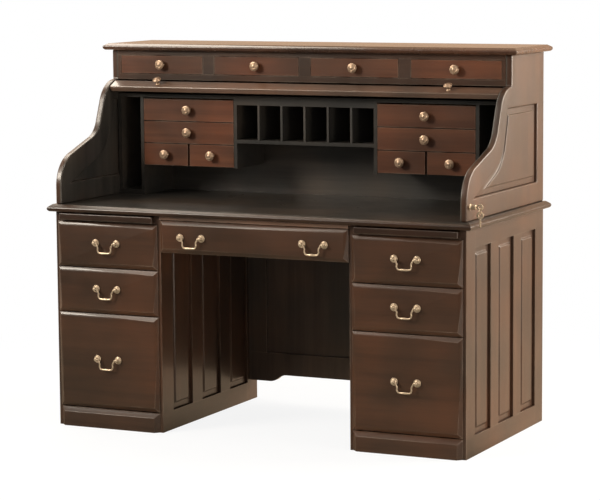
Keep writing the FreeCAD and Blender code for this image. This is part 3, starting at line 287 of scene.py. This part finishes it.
class DeskBrass(bpy.types.PropertyGroup):
    """Finish and sizes of the brass."""

    bright: colour("Bright brass", "Rubbed brass of the handles", (0.60, 0.47, 0.335))
    ruddy: colour("Ruddy brass", "Rubbed brass of the knobs", (0.44, 0.305, 0.21))
    dull: colour("Dull brass", "Tarnished brass", (0.20, 0.135, 0.078))
    roughness: share("Roughness", "Roughness of the rubbed brass", 0.34)
    patina: share("Patina", "Share of bare metal under the thin patina", 0.72)
    bail_span: length("Bail span", "Between the posts of a bail handle", 0.080)
    bail_grip: length("Bail grip", "Grip of a bail between its necks", 0.050)
    bail_drop: length("Bail drop", "Posts to the grip of a bail", 0.033)
    bail_wire: length("Bail wire", "Radius of a bail's neck", 0.0027)
    knob_tip: length("Knob tip", "Tip of a knob's solid ahead of its drawer front", 0.0235)
    rail_knobs: length("Lift knobs", "Lift knobs either side of the middle", 0.545)
    segments: IntProperty(
        name="Segments", description="Faces round a turned piece", default=40, min=12, max=96
    )


class DeskStage(bpy.types.PropertyGroup):
    """Camera, floor and light."""

    camera_place: FloatVectorProperty(
        name="Camera", description="Camera place", default=(3.502, -7.264, 1.614), subtype="TRANSLATION"
    )
    camera_turn: angle("Turn", "Camera turn from the rear", -0.4411)
    camera_tilt: angle("Tilt", "Camera tilt", -0.1243)
    camera_roll: angle("Roll", "Camera roll", -0.0069)
    lens: FloatProperty(name="Lens", description="Focal length in millimetres", default=143.2)
    shift_x: FloatProperty(name="Shift X", description="Sideways shift of the frame", default=-0.0293)
    shift_y: FloatProperty(name="Shift Y", description="Upward shift of the frame", default=-0.0043)
    key_power: power("Key", "Key lamp", 218)
    over_power: power("Overhead", "Lamp over the front", 52)
    side_power: power("Side", "Lamp beside the right end", 252)
    edge_power: power("Edges", "Low lamp before the right end", 29)
    rim_power: power("Rim", "Small lamp over the right end", 34)
    back_power: power("Back", "Lamp over and behind the left end", 55)
    lamp_tone: colour("Lamp tone", "Tone of the lamps", (1.0, 0.92, 0.80))
    room: colour("Room", "Wall behind the desk that the polish mirrors", (0.88, 0.60, 0.395))
    room_front: colour("Room front", "Wall before the desk that the polish mirrors", (0.66, 0.58, 0.50))
    screen: FloatVectorProperty(
        name="Screen",
        description="Towards the dark screen",
        default=(-0.427, -0.896, -0.122),
        subtype="DIRECTION",
    )
    screen_light: share("Screen light", "Light of the dark screen", 0.06)
    floor_size: length("Floor", "Radius of the floor", 2.7)
    floor_front: colour("Floor front", "Floor before the desk that the polish mirrors", (0.22, 0.205, 0.135))
    floor_rear: colour("Floor rear", "Floor behind the desk that the polish mirrors", (0.95, 0.70, 0.47))
    ambient: share("Ambient", "Light from all round", 0.42)


# Materials.


class Shader:
    """The nodes of a new material or world, with short calls to add and join them."""

    def __init__(self, owner):
        owner.use_nodes = True
        self.owner = owner
        self.tree = owner.node_tree

    def first(self, kind):
        """The node of a type that a new material or world starts with."""
        return next(node for node in self.tree.nodes if node.type == kind)

    def add(self, kind, settings=None, **inputs):
        """A node with its settings, and its inputs as for fill."""
        node = self.tree.nodes.new(kind)
        for key, value in (settings or {}).items():
            setattr(node, key, value)
        return self.fill(node, **inputs)

    def fill(self, node, **inputs):
        """Set or join inputs, by name with underscores or by number as i0, i1: a value or an output."""
        for key, value in inputs.items():
            if key[0] == "i" and key[1:].isdigit():
                socket = node.inputs[int(key[1:])]
            else:
                socket = node.inputs[key.replace("_", " ")]
            if isinstance(value, bpy.types.NodeSocket):
                self.tree.links.new(value, socket)
            else:
                socket.default_value = value
        return node

    def surface(self, **inputs):
        """The material's surface, with its inputs as for fill."""
        return self.fill(self.first("BSDF_PRINCIPLED"), **inputs)

    def sum(self, first, second, operation="ADD"):
        """Two numbers joined by a sum."""
        return self.add("ShaderNodeMath", {"operation": operation}, i0=first, i1=second).outputs[0]

    def vector(self, operation, **inputs):
        """The outputs of a sum of vectors."""
        return self.add("ShaderNodeVectorMath", {"operation": operation}, **inputs).outputs

    def parts(self, vector):
        """The X, Y and Z of a vector."""
        return self.add("ShaderNodeSeparateXYZ", Vector=vector).outputs

    def ramp(self, value, places, tones):
        """Colours along a number: one tone at each place."""
        node = self.add("ShaderNodeValToRGB", Fac=value)
        elements = node.color_ramp.elements
        while len(elements) < len(places):
            elements.new(0.5)
        for element, place, tone in zip(elements, places, tones):
            element.position = place
            element.color = (*tone, 1)
        return node.outputs["Color"]

    def between(self, value, low, high, start=0.0, end=1.0):
        """A number from start to end as value goes from low to high, held outside."""
        kind = {"clamp": True, "interpolation_type": "SMOOTHSTEP"}
        node = self.add("ShaderNodeMapRange", kind, i0=value, i1=low, i2=high, i3=start, i4=end)
        return node.outputs[0]

    def mix(self, factor, first, second, blend="MIX"):
        """Two colours mixed."""
        kind = {"data_type": "RGBA", "blend_type": blend}
        return self.add("ShaderNodeMix", kind, i0=factor, i6=first, i7=second).outputs[2]

    def noise(self, vector, scale, detail=4.0, roughness=0.55, distortion=0.0):
        """A noise number over a vector."""
        node = self.add(
            "ShaderNodeTexNoise",
            Vector=vector,
            Scale=scale,
            Detail=detail,
            Roughness=roughness,
            Distortion=distortion,
        )
        return node.outputs[0]


def grain_vector(shader, grain):
    """Object coordinates, plain and stretched along the grain, which is moved for each object."""
    place = shader.add("ShaderNodeTexCoord").outputs["Object"]
    chance = shader.add("ShaderNodeObjectInfo").outputs["Random"]
    offset = shader.vector("SCALE", i0=BOARD_OFFSET, Scale=chance)[0]
    moved = shader.vector("ADD", i0=place, i1=offset)[0]
    return place, shader.vector("MULTIPLY", i0=moved, i1=ALONG_SHARES[grain])[0]


def wood_tone(shader, vector, kind):
    """Colour of a kind of wood, its grain and the heights of its pores."""
    settings = bpy.context.scene.desk_wood
    dark = tuple(getattr(settings, kind + "_dark"))
    light = tuple(getattr(settings, kind + "_light"))
    middle = tuple((a + b) / 2 for a, b in zip(dark, light))
    figure = shader.noise(vector, FIGURE_SCALE, 4.0, 0.55, 0.9)
    streak = shader.noise(vector, STREAK_SCALE, 3.0, 0.6)
    fibre = shader.noise(vector, FIBRE_SCALE, 2.0, 0.5)
    figure = shader.sum(figure, FIGURE_SHARE, "MULTIPLY")
    grain = shader.sum(figure, shader.sum(streak, STREAK_SHARE, "MULTIPLY"))
    tone = shader.ramp(grain, GRAIN_STOPS, (dark, middle, light))
    pore = shader.between(fibre, *PORE_VALUES)
    return shader.mix(shader.between(pore, 0, 1, PORE_SHADE, 0), tone, (*dark, 1)), grain, pore


def edge_wear_and_highlight(shader):
    """How near a surface point is to an outer edge, and not to an inner corner: where edges are lightened,
    partly as wear and partly as a painted highlight.
    """
    rounded = shader.add("ShaderNodeBevel", {"samples": 4}, Radius=WEAR_HIGHLIGHT_RADIUS).outputs[0]
    flat = shader.add("ShaderNodeNewGeometry").outputs["Normal"]
    facing = shader.vector("DOT_PRODUCT", i0=rounded, i1=flat)["Value"]
    clear = shader.add("ShaderNodeAmbientOcclusion", {"samples": 4}, Distance=WEAR_HIGHLIGHT_REACH).outputs["AO"]
    return shader.sum(shader.between(facing, *WEAR_HIGHLIGHT_TURNS), shader.between(clear, *WEAR_HIGHLIGHT_CLEAR), "MULTIPLY")


def wood(
    name,
    grain,
    kind,
    box_from=None,
    front_to=None,
    rails=None,
    inner=None,
    lid=None,
    roughness=None,
    coat=None,
    wear_and_highlight=None,
):
    """Polished wood of a kind, with its grain along an axis.

    Behind box_from along Y it is a bare drawer box, and before front_to it is darker. rails holds the
    heights under and over which its grain turns. Within the half width inner it is of the gallery's kind,
    and what faces up takes the darker kind given for the writing top's face: a painted dark reflection of the
    gallery.
    """
    settings = bpy.context.scene.desk_wood
    shader = Shader(bpy.data.materials.new(name))
    place, vector = grain_vector(shader, grain)
    across, depth, height = shader.parts(place)
    if rails is not None:
        low = shader.sum(height, rails[0], "LESS_THAN")
        high = shader.sum(height, rails[1], "GREATER_THAN")
        turned = shader.vector("MULTIPLY", i0=place, i1=ALONG_SHARES["Y"])[0]
        level = shader.sum(low, high)
        choice = shader.add("ShaderNodeMix", {"data_type": "VECTOR"}, i0=level, i4=vector, i5=turned)
        vector = choice.outputs[1]
    tone, figure, pore = wood_tone(shader, vector, kind)
    if inner is not None:
        within = shader.sum(shader.sum(across, 0.0, "ABSOLUTE"), inner, "LESS_THAN")
        shade, _, _ = wood_tone(shader, vector, "inside")
        tone = shader.mix(within, tone, shade)
    # What faces up is painted darker: a painted dark reflection of the gallery on the writing top.
    if lid is not None:
        normal = shader.add("ShaderNodeNewGeometry").outputs["Normal"]
        upward_reflection = shader.between(shader.parts(normal)["Z"], *REFLECTION_FACING_UP)
        face, _, _ = wood_tone(shader, vector, lid)
        tone = shader.mix(upward_reflection, tone, face)
    cloud = shader.noise(place, CLOUD_SCALE, 2.0, 0.45)
    tone = shader.mix(1.0, tone, shader.ramp(cloud, GRAIN_STOPS, CLOUD_TONES), "MULTIPLY")
    smudge = shader.noise(place, SMUDGE_SCALE, 5.0, 0.65)
    # Edges lightened with the arris tone: partly real wear, partly a painted highlight.
    worn_and_highlit = shader.sum(edge_wear_and_highlight(shader), shader.between(smudge, *WORN_AND_HIGHLIT_VALUES), "MULTIPLY")
    worn_and_highlit = shader.sum(worn_and_highlit, settings.wear_and_highlight if wear_and_highlight is None else wear_and_highlight, "MULTIPLY")
    tone = shader.mix(worn_and_highlit, tone, (*settings.arris_wear_and_highlight, 1))
    if front_to is not None:
        ahead = shader.sum(depth, front_to, "LESS_THAN")
        tone = shader.mix(shader.sum(ahead, settings.front_shade, "MULTIPLY"), tone, BLACK)
    base = settings.roughness if roughness is None else roughness
    gloss = shader.sum(shader.sum(smudge, SMUDGE_GLOSS, "MULTIPLY"), base - SMUDGE_GLOSS / 2)
    if box_from is not None:
        behind = shader.sum(depth, box_from, "GREATER_THAN")
        _, lengthwise = grain_vector(shader, "Y")
        bare, _, _ = wood_tone(shader, lengthwise, "box")
        tone = shader.mix(behind, tone, bare)
        gloss = shader.sum(gloss, shader.sum(behind, BARE_ROUGHER, "MULTIPLY"))
    relief = shader.sum(pore, shader.sum(figure, FIGURE_RELIEF, "MULTIPLY"))
    bump = shader.add("ShaderNodeBump", Strength=BUMP_STRENGTH, Distance=PORE_DEPTH, Height=relief)
    shader.surface(
        Base_Color=tone,
        Roughness=gloss,
        Normal=bump.outputs[0],
        Specular_IOR_Level=SPECULAR,
        Coat_Weight=settings.coat if coat is None else coat,
        Coat_Roughness=COAT_ROUGHNESS,
    )
    return shader.owner


def brass(name, rubbed):
    """Brass of a rubbed tone where it stands out, and dull in its hollows."""
    settings = bpy.context.scene.desk_brass
    shader = Shader(bpy.data.materials.new(name))
    place = shader.add("ShaderNodeTexCoord").outputs["Object"]
    clear = shader.add("ShaderNodeAmbientOcclusion", {"samples": 6}, Distance=HOLLOW_REACH).outputs["AO"]
    blotch = shader.noise(place, BLOTCH_SCALE, 5.0, 0.6)
    scratch = shader.noise(place, SCRATCH_SCALE, 2.0, 0.5)
    open_metal = shader.between(clear, *HOLLOW_CLEAR)
    bright = shader.sum(open_metal, shader.between(blotch, *BLOTCH_VALUES), "MULTIPLY")
    relief = shader.sum(blotch, scratch)
    bump = shader.add("ShaderNodeBump", Strength=BRASS_RELIEF, Distance=BRASS_DEPTH, Height=relief)
    shader.surface(
        Base_Color=shader.mix(bright, (*settings.dull, 1), (*rubbed, 1)),
        Metallic=settings.patina,
        Roughness=shader.sum(shader.between(bright, 0, 1, DULL_ROUGHER, 0), settings.roughness),
        Normal=bump.outputs[0],
    )
    return shader.owner


def finish_node(name, material, edge):
    """Give a node its material and, unless it stays sharp, rounded edges."""
    item = NODES[name]
    item.data.materials.clear()
    item.data.materials.append(material)
    if edge == SHARP:
        return
    weld = item.modifiers.new("Weld", "WELD")
    weld.merge_threshold = WELD_REACH
    bevel = item.modifiers.new("Rounded edges", "BEVEL")
    bevel.width = edge
    bevel.segments = 3 if edge > FINER_OVER else 2
    bevel.limit_method = "ANGLE"
    bevel.angle_limit = EDGE_ANGLE
    bevel.use_clamp_overlap = name not in WELL_ROUNDED
    weighted = item.modifiers.new("Smooth edges", "WEIGHTED_NORMAL")
    weighted.keep_sharp = False
    for face in item.data.polygons:
        face.use_smooth = True


# Turned and bent pieces.


def new_piece(name, work, material, body, smooth=True):
    """A closed piece that moves with a body."""
    bmesh.ops.recalc_face_normals(work, faces=work.faces)
    mesh = bpy.data.meshes.new(name)
    work.to_mesh(mesh)
    work.free()
    item = bpy.data.objects.new(name, mesh)
    bpy.context.scene.collection.objects.link(item)
    item.data.materials.append(material)
    for face in item.data.polygons:
        face.use_smooth = smooth
    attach(item, body)
    return item


def join_rings(work, rings):
    """Faces from each ring to the next."""
    for lower, upper in zip(rings, rings[1:]):
        for step in range(len(lower)):
            after = (step + 1) % len(lower)
            work.faces.new((lower[step], lower[after], upper[after], upper[step]))


def turned_rings(work, profile, segments, placing, lobes=0, lobe_depth=0.0, lobed=(0.0, 0.0)):
    """A turned form: profile holds (height, radius) in millimetres from its seat to its tip.

    Lobes scallop it between the two heights in lobed.
    """
    rings = []
    profile = [(height * MM, radius * MM) for height, radius in profile]
    for height, radius in profile:
        ring = []
        for step in range(segments):
            turn = math.tau * step / segments
            reach = radius
            if lobes and lobed[0] <= height <= lobed[1]:
                reach = radius * (1 + lobe_depth * (0.5 + 0.5 * math.cos(lobes * turn)))
            point = Vector((reach * math.cos(turn), reach * math.sin(turn), height))
            ring.append(work.verts.new(placing @ point))
        rings.append(ring)
    join_rings(work, rings)
    for ring, (height, _), flip in ((rings[0], profile[0], True), (rings[-1], profile[-1], False)):
        middle = work.verts.new(placing @ Vector((0, 0, height)))
        for step in range(segments):
            after = (step + 1) % segments
            corners = (ring[after], ring[step], middle) if flip else (ring[step], ring[after], middle)
            work.faces.new(corners)


def cubic(before, start, end, after, t):
    """A smooth value between start and end."""
    bend = 2 * before - 5 * start + 4 * end - after
    rise = 3 * (start - end) + after - before
    return 0.5 * (2 * start + (end - before) * t + bend * t * t + rise * t ** 3)


def smooth_line(points, steps):
    """Points on a smooth line through the given points, each (x, z, radius)."""
    line = []
    padded = [points[0]] + list(points) + [points[-1]]
    for before, start, end, after in zip(padded, padded[1:], padded[2:], padded[3:]):
        for step in range(steps):
            t = step / steps
            line.append(tuple(cubic(*values, t) for values in zip(before, start, end, after)))
    line.append(points[-1])
    return line


def bent_bar(work, line, segments, placing):
    """A round bar along a line in the X-Z plane: line holds (x, z, radius)."""
    rings = []
    for index, (x, z, radius) in enumerate(line):
        start = line[max(index - 1, 0)]
        end = line[min(index + 1, len(line) - 1)]
        along = Vector((end[0] - start[0], 0, end[1] - start[1])).normalized()
        side = Vector((-along.z, 0, along.x))
        ring = []
        for step in range(segments):
            turn = math.tau * step / segments
            offset = side * (radius * math.cos(turn)) + Vector((0, radius * math.sin(turn), 0))
            ring.append(work.verts.new(placing @ (Vector((x, 0, z)) + offset)))
        rings.append(ring)
    join_rings(work, rings)
    work.faces.new(rings[0])
    work.faces.new(list(reversed(rings[-1])))


def seated(place, axis):
    """Placing of a turned form that stands on a place and points along an axis."""
    return Matrix.Translation(place) @ UP.rotation_difference(axis).to_matrix().to_4x4()


# Profiles in millimetres: (height over the seat, radius).
KNOB_PROFILE = [
    (0.0, 10.3), (1.4, 10.6), (2.7, 10.0), (3.3, 7.8), (4.4, 6.2), (7.0, 5.3),
    (9.4, 5.8), (10.6, 8.2), (11.8, 11.6), (13.0, 14.0), (14.4, 15.6), (16.2, 16.3),
    (17.8, 16.2), (19.4, 15.5), (20.5, 14.6), (20.3, 13.7), (20.9, 12.8), (22.5, 11.6),
    (23.7, 9.9), (24.0, 8.7), (23.2, 7.7), (23.9, 6.6), (25.4, 4.7), (26.0, 2.0),
]
ROSETTE_PROFILE = [
    (0.0, 12.4), (1.4, 12.9), (3.0, 12.8), (4.4, 12.1), (4.9, 11.2), (4.3, 10.3),
    (4.4, 9.4), (5.6, 8.4), (6.6, 7.0), (7.2, 5.8), (9.2, 5.0), (10.6, 5.4),
    (12.2, 6.2), (14.0, 6.5), (15.8, 6.2), (17.4, 5.7), (18.8, 5.0), (19.5, 3.0),
]
LIFT_PROFILE = [
    (0.0, 8.2), (1.4, 8.6), (2.6, 7.8), (3.4, 5.6), (5.0, 5.0), (8.4, 5.0), (11.0, 5.6),
    (12.0, 8.6), (13.0, 12.0), (14.4, 14.4), (16.4, 15.4), (18.4, 15.2), (19.8, 14.2),
    (20.4, 12.9), (20.2, 12.0), (21.4, 11.0), (23.0, 8.6), (24.2, 5.4), (24.6, 2.4),
]
BARREL_PROFILE = [
    (0.0, 10.6), (0.8, 10.8), (1.6, 10.2), (2.0, 8.4), (6.4, 8.0), (7.2, 7.4), (8.0, 8.0),
    (13.0, 8.0), (13.8, 7.4), (14.6, 8.0), (18.8, 7.9), (19.8, 7.2), (20.05, 4.0),
]


# Operators.


class DESK_OT_wood(bpy.types.Operator):
    """Finish the boards, panels, drawers and slats in polished wood"""

    bl_idname = "desk.wood"
    bl_label = "Wood"

    def execute(self, context):
        frame_wood = wood("frame_wood", "Z", "case", rails=FRAME_RAILS)
        upright = wood("upright_wood", "Z", "case")
        curved = wood("curved_side_wood", "Z", "case", inner=SIDE_INNER_FACE)
        level = wood("level_wood", "X", "case")
        deck = wood("deck_wood", "X", "top", roughness=0.27, coat=0.3)
        slide = wood("slide_wood", "X", "slide", wear_and_highlight=0.4)
        # Its upward face takes the darker writing top tone: a painted dark reflection of the gallery.
        desk_top = wood("desk_top_wood", "X", "slide", lid="lid", roughness=0.3, coat=0.14)
        front_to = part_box("gallery_case")[0].y + GALLERY_EDGE_DEPTH
        satin = {"roughness": 0.4, "coat": 0.15, "wear_and_highlight": 0.1}
        gallery = wood("gallery_wood", "X", "inside", front_to=front_to, **satin)
        divider = wood("divider_wood", "Z", "inside", **satin)
        large_front = wood("large_front_wood", "X", "front", box_from=LARGE_FRONT_REAR)
        upper_front = wood("upper_front_wood", "X", "small", box_from=UPPER_FRONT_REAR)
        gallery_front = wood("gallery_front_wood", "X", "small", box_from=GALLERY_FRONT_REAR)
        slat = wood("slat_wood", "X", "top")
        rail = wood("rail_wood", "X", "rail", coat=0.6)
        modesty = wood("modesty_wood", "Z", "modesty")
        groups = (
            (frame_wood, SHARP, ("left_pedestal_frame", "right_pedestal_frame")),
            (upright, ROUND_EDGE, ("pedestal_panels",)),
            (upright, BACK_EDGE, ("pedestal_backs",)),
            (modesty, SHARP, ("modesty_panel",)),
            (curved, ROUND_EDGE, ("roll_side_panels",)),
            (curved, SIDE_EDGE, ("left_roll_side", "right_roll_side")),
            (level, SHARP, ("drawer_runners", "upper_case")),
            (level, FRONT_EDGE, ("plinths",)),
            (desk_top, ROUND_EDGE, ("writing_top",)),
            (deck, TOP_EDGE, ("top_board",)),
            (slide, ROUND_EDGE, SLIDES),
            (gallery, SHARP, ("gallery_case",)),
            (divider, SLIGHT_EDGE, ("pigeonhole_dividers",)),
            (large_front, FRONT_EDGE, LARGE_DRAWERS),
            (upper_front, SLIGHT_EDGE, UPPER_DRAWERS),
            (gallery_front, SLIGHT_EDGE, GALLERY_DRAWERS),
            (rail, ROUND_EDGE, ("roll_rail",)),
            (slat, SHARP, STRIPS),
        )
        for material, edge, names in groups:
            for name in names:
                finish_node(name, material, edge)
        return {"FINISHED"}


class DESK_OT_fillet(bpy.types.Operator):
    """Set a slim fillet under the writing top, over the centre drawer"""

    bl_idname = "desk.fillet"
    bl_label = "Fillet"

    def execute(self, context):
        settings = context.scene.desk_wood
        drawer_low, drawer_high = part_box("centre_drawer")
        foot = drawer_high.z + settings.fillet_gap
        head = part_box("writing_top")[0].z
        size = Vector((drawer_high.x - drawer_low.x, settings.fillet_depth, head - foot))
        middle = Vector((0, settings.fillet_face + settings.fillet_depth / 2, (foot + head) / 2))
        placing = Matrix.Translation(middle) @ Matrix.Diagonal(size.to_4d())
        work = bmesh.new()
        bmesh.ops.create_cube(work, size=1.0, matrix=placing)
        # Lighter rail tone: partly the fillet's own wood, partly painted light lifting the shade under the
        # writing top's overhang.
        material = wood("fillet_wood", "X", "rail")
        new_piece("top_fillet", work, material, BODY_OF["writing_top"], smooth=False)
        return {"FINISHED"}


class DESK_OT_knobs(bpy.types.Operator):
    """Set a turned brass knob on each small drawer"""

    bl_idname = "desk.knobs"
    bl_label = "Knobs"

    def execute(self, context):
        settings = context.scene.desk_brass
        material = brass("knob_brass", settings.ruddy)
        scallops = (KNOB_LOBES, KNOB_LOBE_DEPTH, KNOB_LOBED)
        for name in UPPER_DRAWERS + GALLERY_DRAWERS:
            low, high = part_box(name)
            middle = (low + high) / 2
            placing = seated(Vector((middle.x, low.y + settings.knob_tip, middle.z + KNOB_RISE)), FORWARD)
            work = bmesh.new()
            turned_rings(work, KNOB_PROFILE, settings.segments, placing, *scallops)
            new_piece(name + "_knob", work, material, BODY_OF[name])
        return {"FINISHED"}


class DESK_OT_bails(bpy.types.Operator):
    """Hang the bail handles between their ringed rosettes"""

    bl_idname = "desk.bails"
    bl_label = "Bail handles"

    def execute(self, context):
        settings = context.scene.desk_brass
        material = brass("bail_brass", settings.bright)
        line = smooth_line(self.swan_necks(settings), BAIL_STEPS)
        for name in BAILS:
            joint = JOINTS[name + "_swing"]
            pivot = Vector(joint["pos_m"])
            work = bmesh.new()
            for side in (-1, 1):
                seat = Vector((pivot.x + side * settings.bail_span / 2, DRAWER_FACE, pivot.z))
                turned_rings(work, ROSETTE_PROFILE, settings.segments, seated(seat, FORWARD))
            new_piece(name.replace("_bail", "_rosettes"), work, material, joint["parent"])
            work = bmesh.new()
            bent_bar(work, line, BAIL_SEGMENTS, Matrix.Translation(pivot))
            bar = new_piece(name + "_bar", work, material, BODY_OF[name])
            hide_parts(name)
        return {"FINISHED"}

    def swan_necks(self, settings):
        """Points of a bail from one pin over both necks to the other: (x, z, radius)."""
        span = settings.bail_span / 2
        grip = settings.bail_grip / 2
        drop = settings.bail_drop
        wire = settings.bail_wire
        half = [
            (span - 0.0035, 0, 0.8 * wire),
            (span - 0.0080, -0.0002, 0.9 * wire),
            (grip + 0.0050, -0.16 * drop, wire),
            (grip, -0.42 * drop, wire),
            (grip + 0.0004, -0.72 * drop, wire),
            (0.84 * grip, -0.95 * drop, 1.05 * wire),
            (0.5 * grip, -drop, 1.15 * wire),
            (0.16 * grip, -drop, 1.35 * wire),
        ]
        return half + [(0, -drop, 1.4 * wire)] + [(-x, z, radius) for x, z, radius in reversed(half)]


class DESK_OT_lift_knobs(bpy.types.Operator):
    """Stand the two lift knobs on the bottom rail of the roll"""

    bl_idname = "desk.lift_knobs"
    bl_label = "Lift knobs"

    def execute(self, context):
        settings = context.scene.desk_brass
        material = brass("lift_brass", settings.ruddy)
        work = bmesh.new()
        for side in (-1, 1):
            seat = Vector((side * settings.rail_knobs, *LIFT_SEAT))
            turned_rings(work, LIFT_PROFILE, settings.segments, seated(seat, LIFT_AXIS))
        knobs = new_piece("rail_lift_knobs", work, material, BODY_OF["lift_knobs"])
        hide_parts("lift_knobs")
        return {"FINISHED"}


class DESK_OT_lock(bpy.types.Operator):
    """Fit the lock barrel, and finish the keys and their ring"""

    bl_idname = "desk.lock"
    bl_label = "Lock and keys"

    def execute(self, context):
        settings = context.scene.desk_brass
        material = brass("lock_brass", settings.bright)
        low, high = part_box("lock_cylinder")
        seat = Vector((low.x, (low.y + high.y) / 2, (low.z + high.z) / 2))
        work = bmesh.new()
        turned_rings(work, BARREL_PROFILE, settings.segments, seated(seat, RIGHT))
        barrel = new_piece("lock_barrel", work, material, BODY_OF["lock_cylinder"])
        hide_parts("lock_cylinder")
        for name in ("lock_key", "key_ring"):
            finish_node(name, material, KEY_EDGE)
        return {"FINISHED"}


class DESK_OT_stage(bpy.types.Operator):
    """Set the floor, the light and the camera"""

    bl_idname = "desk.stage"
    bl_label = "Stage"

    def execute(self, context):
        scene = context.scene
        settings = scene.desk_stage
        self.floor(scene, settings)
        self.world(scene, settings)
        for name, place, aim, size, setting in LAMPS:
            lamp = self.lamp(scene, name, Vector(place), Vector(aim), size)
            lamp.energy = getattr(settings, setting)
            lamp.color = settings.lamp_tone
        self.camera(scene, settings)
        scene.view_settings.view_transform = "Standard"
        return {"FINISHED"}

    def floor(self, scene, settings):
        """A pale floor that is white to the eye and keeps a soft shadow."""
        work = bmesh.new()
        bmesh.ops.create_circle(work, cap_ends=True, segments=FLOOR_SIDES, radius=settings.floor_size)
        mesh = bpy.data.meshes.new("floor")
        work.to_mesh(mesh)
        work.free()
        item = bpy.data.objects.new("floor", mesh)
        scene.collection.objects.link(item)
        shader = Shader(bpy.data.materials.new("pale_floor"))
        place = shader.add("ShaderNodeTexCoord").outputs["Object"]
        mottle = shader.noise(place, FLOOR_SCALE, 5.0, 0.6)
        surface = shader.surface(
            Base_Color=shader.ramp(mottle, FLOOR_VALUES, FLOOR_TONES),
            Roughness=shader.between(mottle, *FLOOR_VALUES, *FLOOR_ROUGHNESS),
        )
        away = shader.vector("LENGTH", i0=place)["Value"]
        white = shader.between(away, *FLOOR_SHADOW, FLOOR_NEAR_WHITE, 1.0)
        rearward = shader.between(shader.parts(place)["Y"], *FLOOR_DEPTHS)
        mirrored = shader.ramp(rearward, (0.0, 1.0), (settings.floor_front, settings.floor_rear))
        path = shader.add("ShaderNodeLightPath").outputs
        tone = shader.mix(path["Is Glossy Ray"], WHITE, mirrored)
        glow = shader.add("ShaderNodeEmission", Color=tone, Strength=1.0).outputs[0]
        seen = shader.sum(path["Is Camera Ray"], path["Is Transmission Ray"], "MAXIMUM")
        glowing = shader.sum(shader.sum(seen, white, "MULTIPLY"), path["Is Glossy Ray"], "MAXIMUM")
        blend = shader.add("ShaderNodeMixShader", Fac=glowing, i1=surface.outputs[0], i2=glow)
        shader.fill(shader.first("OUTPUT_MATERIAL"), Surface=blend.outputs[0])
        item.data.materials.append(shader.owner)

    def world(self, scene, settings):
        """White to the eye and soft for light.

        The polish mirrors a warm room with a dark screen before the desk.
        """
        shader = Shader(bpy.data.worlds.new("studio"))
        scene.world = shader.owner
        direction = shader.add("ShaderNodeTexCoord").outputs["Generated"]
        rearward = shader.between(shader.parts(direction)["Y"], *ROOM_DEPTHS)
        walls = shader.ramp(rearward, (0.0, 1.0), (settings.room_front, settings.room))
        screen = shader.vector("DOT_PRODUCT", i0=direction, i1=tuple(settings.screen))["Value"]
        lit = shader.between(screen, *SCREEN_EDGE, 1.0, settings.screen_light)
        room = shader.vector("SCALE", i0=walls, Scale=lit)[0]
        path = shader.add("ShaderNodeLightPath").outputs
        mirrored = shader.sum(path["Is Glossy Ray"], path["Is Transmission Ray"], "MAXIMUM")
        soft = (settings.ambient, settings.ambient, settings.ambient, 1)
        tone = shader.mix(path["Is Camera Ray"], shader.mix(mirrored, soft, room), WHITE)
        shader.fill(shader.first("BACKGROUND"), Color=tone, Strength=1.0)

    def lamp(self, scene, name, place, aim, size):
        """A soft square lamp that points at a place."""
        data = bpy.data.lights.new(name, "AREA")
        data.size = size
        item = bpy.data.objects.new(name, data)
        scene.collection.objects.link(item)
        item.location = place
        item.rotation_euler = (aim - place).to_track_quat("-Z", "Y").to_euler()
        return data

    def camera(self, scene, settings):
        """The camera at the photograph's angle."""
        turn, tilt, roll = settings.camera_turn, settings.camera_tilt, settings.camera_roll
        ahead = Vector((math.sin(turn), math.cos(turn), 0))
        right = Vector((math.cos(turn), -math.sin(turn), 0))
        look = ahead * math.cos(tilt) + UP * math.sin(tilt)
        above = UP * math.cos(tilt) - ahead * math.sin(tilt)
        side = right * math.cos(roll) + above * math.sin(roll)
        head = above * math.cos(roll) - right * math.sin(roll)
        data = bpy.data.cameras.new("camera")
        data.lens = settings.lens
        data.sensor_width = SENSOR_WIDTH
        data.shift_x = settings.shift_x
        data.shift_y = settings.shift_y
        data.clip_end = CLIP_END
        item = bpy.data.objects.new("camera", data)
        scene.collection.objects.link(item)
        turned = Matrix((side, head, -look)).transposed().to_4x4()
        item.matrix_world = Matrix.Translation(settings.camera_place) @ turned
        scene.camera = item


class DESK_PT_panel(bpy.types.Panel):
    """Lists the steps of the desk"""

    bl_idname = "DESK_PT_panel"
    bl_label = "Roll-top Desk"
    bl_space_type = "VIEW_3D"
    bl_region_type = "UI"
    bl_category = "Desk"

    def draw(self, context):
        for step in STEPS:
            self.layout.operator(step.bl_idname)


STEPS = (
    DESK_OT_wood,
    DESK_OT_fillet,
    DESK_OT_knobs,
    DESK_OT_bails,
    DESK_OT_lift_knobs,
    DESK_OT_lock,
    DESK_OT_stage,
)
SETTINGS = (("desk_wood", DeskWood), ("desk_brass", DeskBrass), ("desk_stage", DeskStage))


def register():
    """Add the settings, the operators and the panel."""
    for name, group in SETTINGS:
        bpy.utils.register_class(group)
        setattr(bpy.types.Scene, name, PointerProperty(type=group))
    for step in STEPS + (DESK_PT_panel,):
        bpy.utils.register_class(step)


def unregister():
    """Take them out again."""
    for step in (DESK_PT_panel,) + STEPS[::-1]:
        bpy.utils.unregister_class(step)
    for name, group in SETTINGS[::-1]:
        delattr(bpy.types.Scene, name)
        bpy.utils.unregister_class(group)


def main():
    """Build the looks in order."""
    register()
    bpy.ops.desk.wood()
    bpy.ops.desk.fillet()
    bpy.ops.desk.knobs()
    bpy.ops.desk.bails()
    bpy.ops.desk.lift_knobs()
    bpy.ops.desk.lock()
    bpy.ops.desk.stage()


if __name__ == "__main__":
    main()
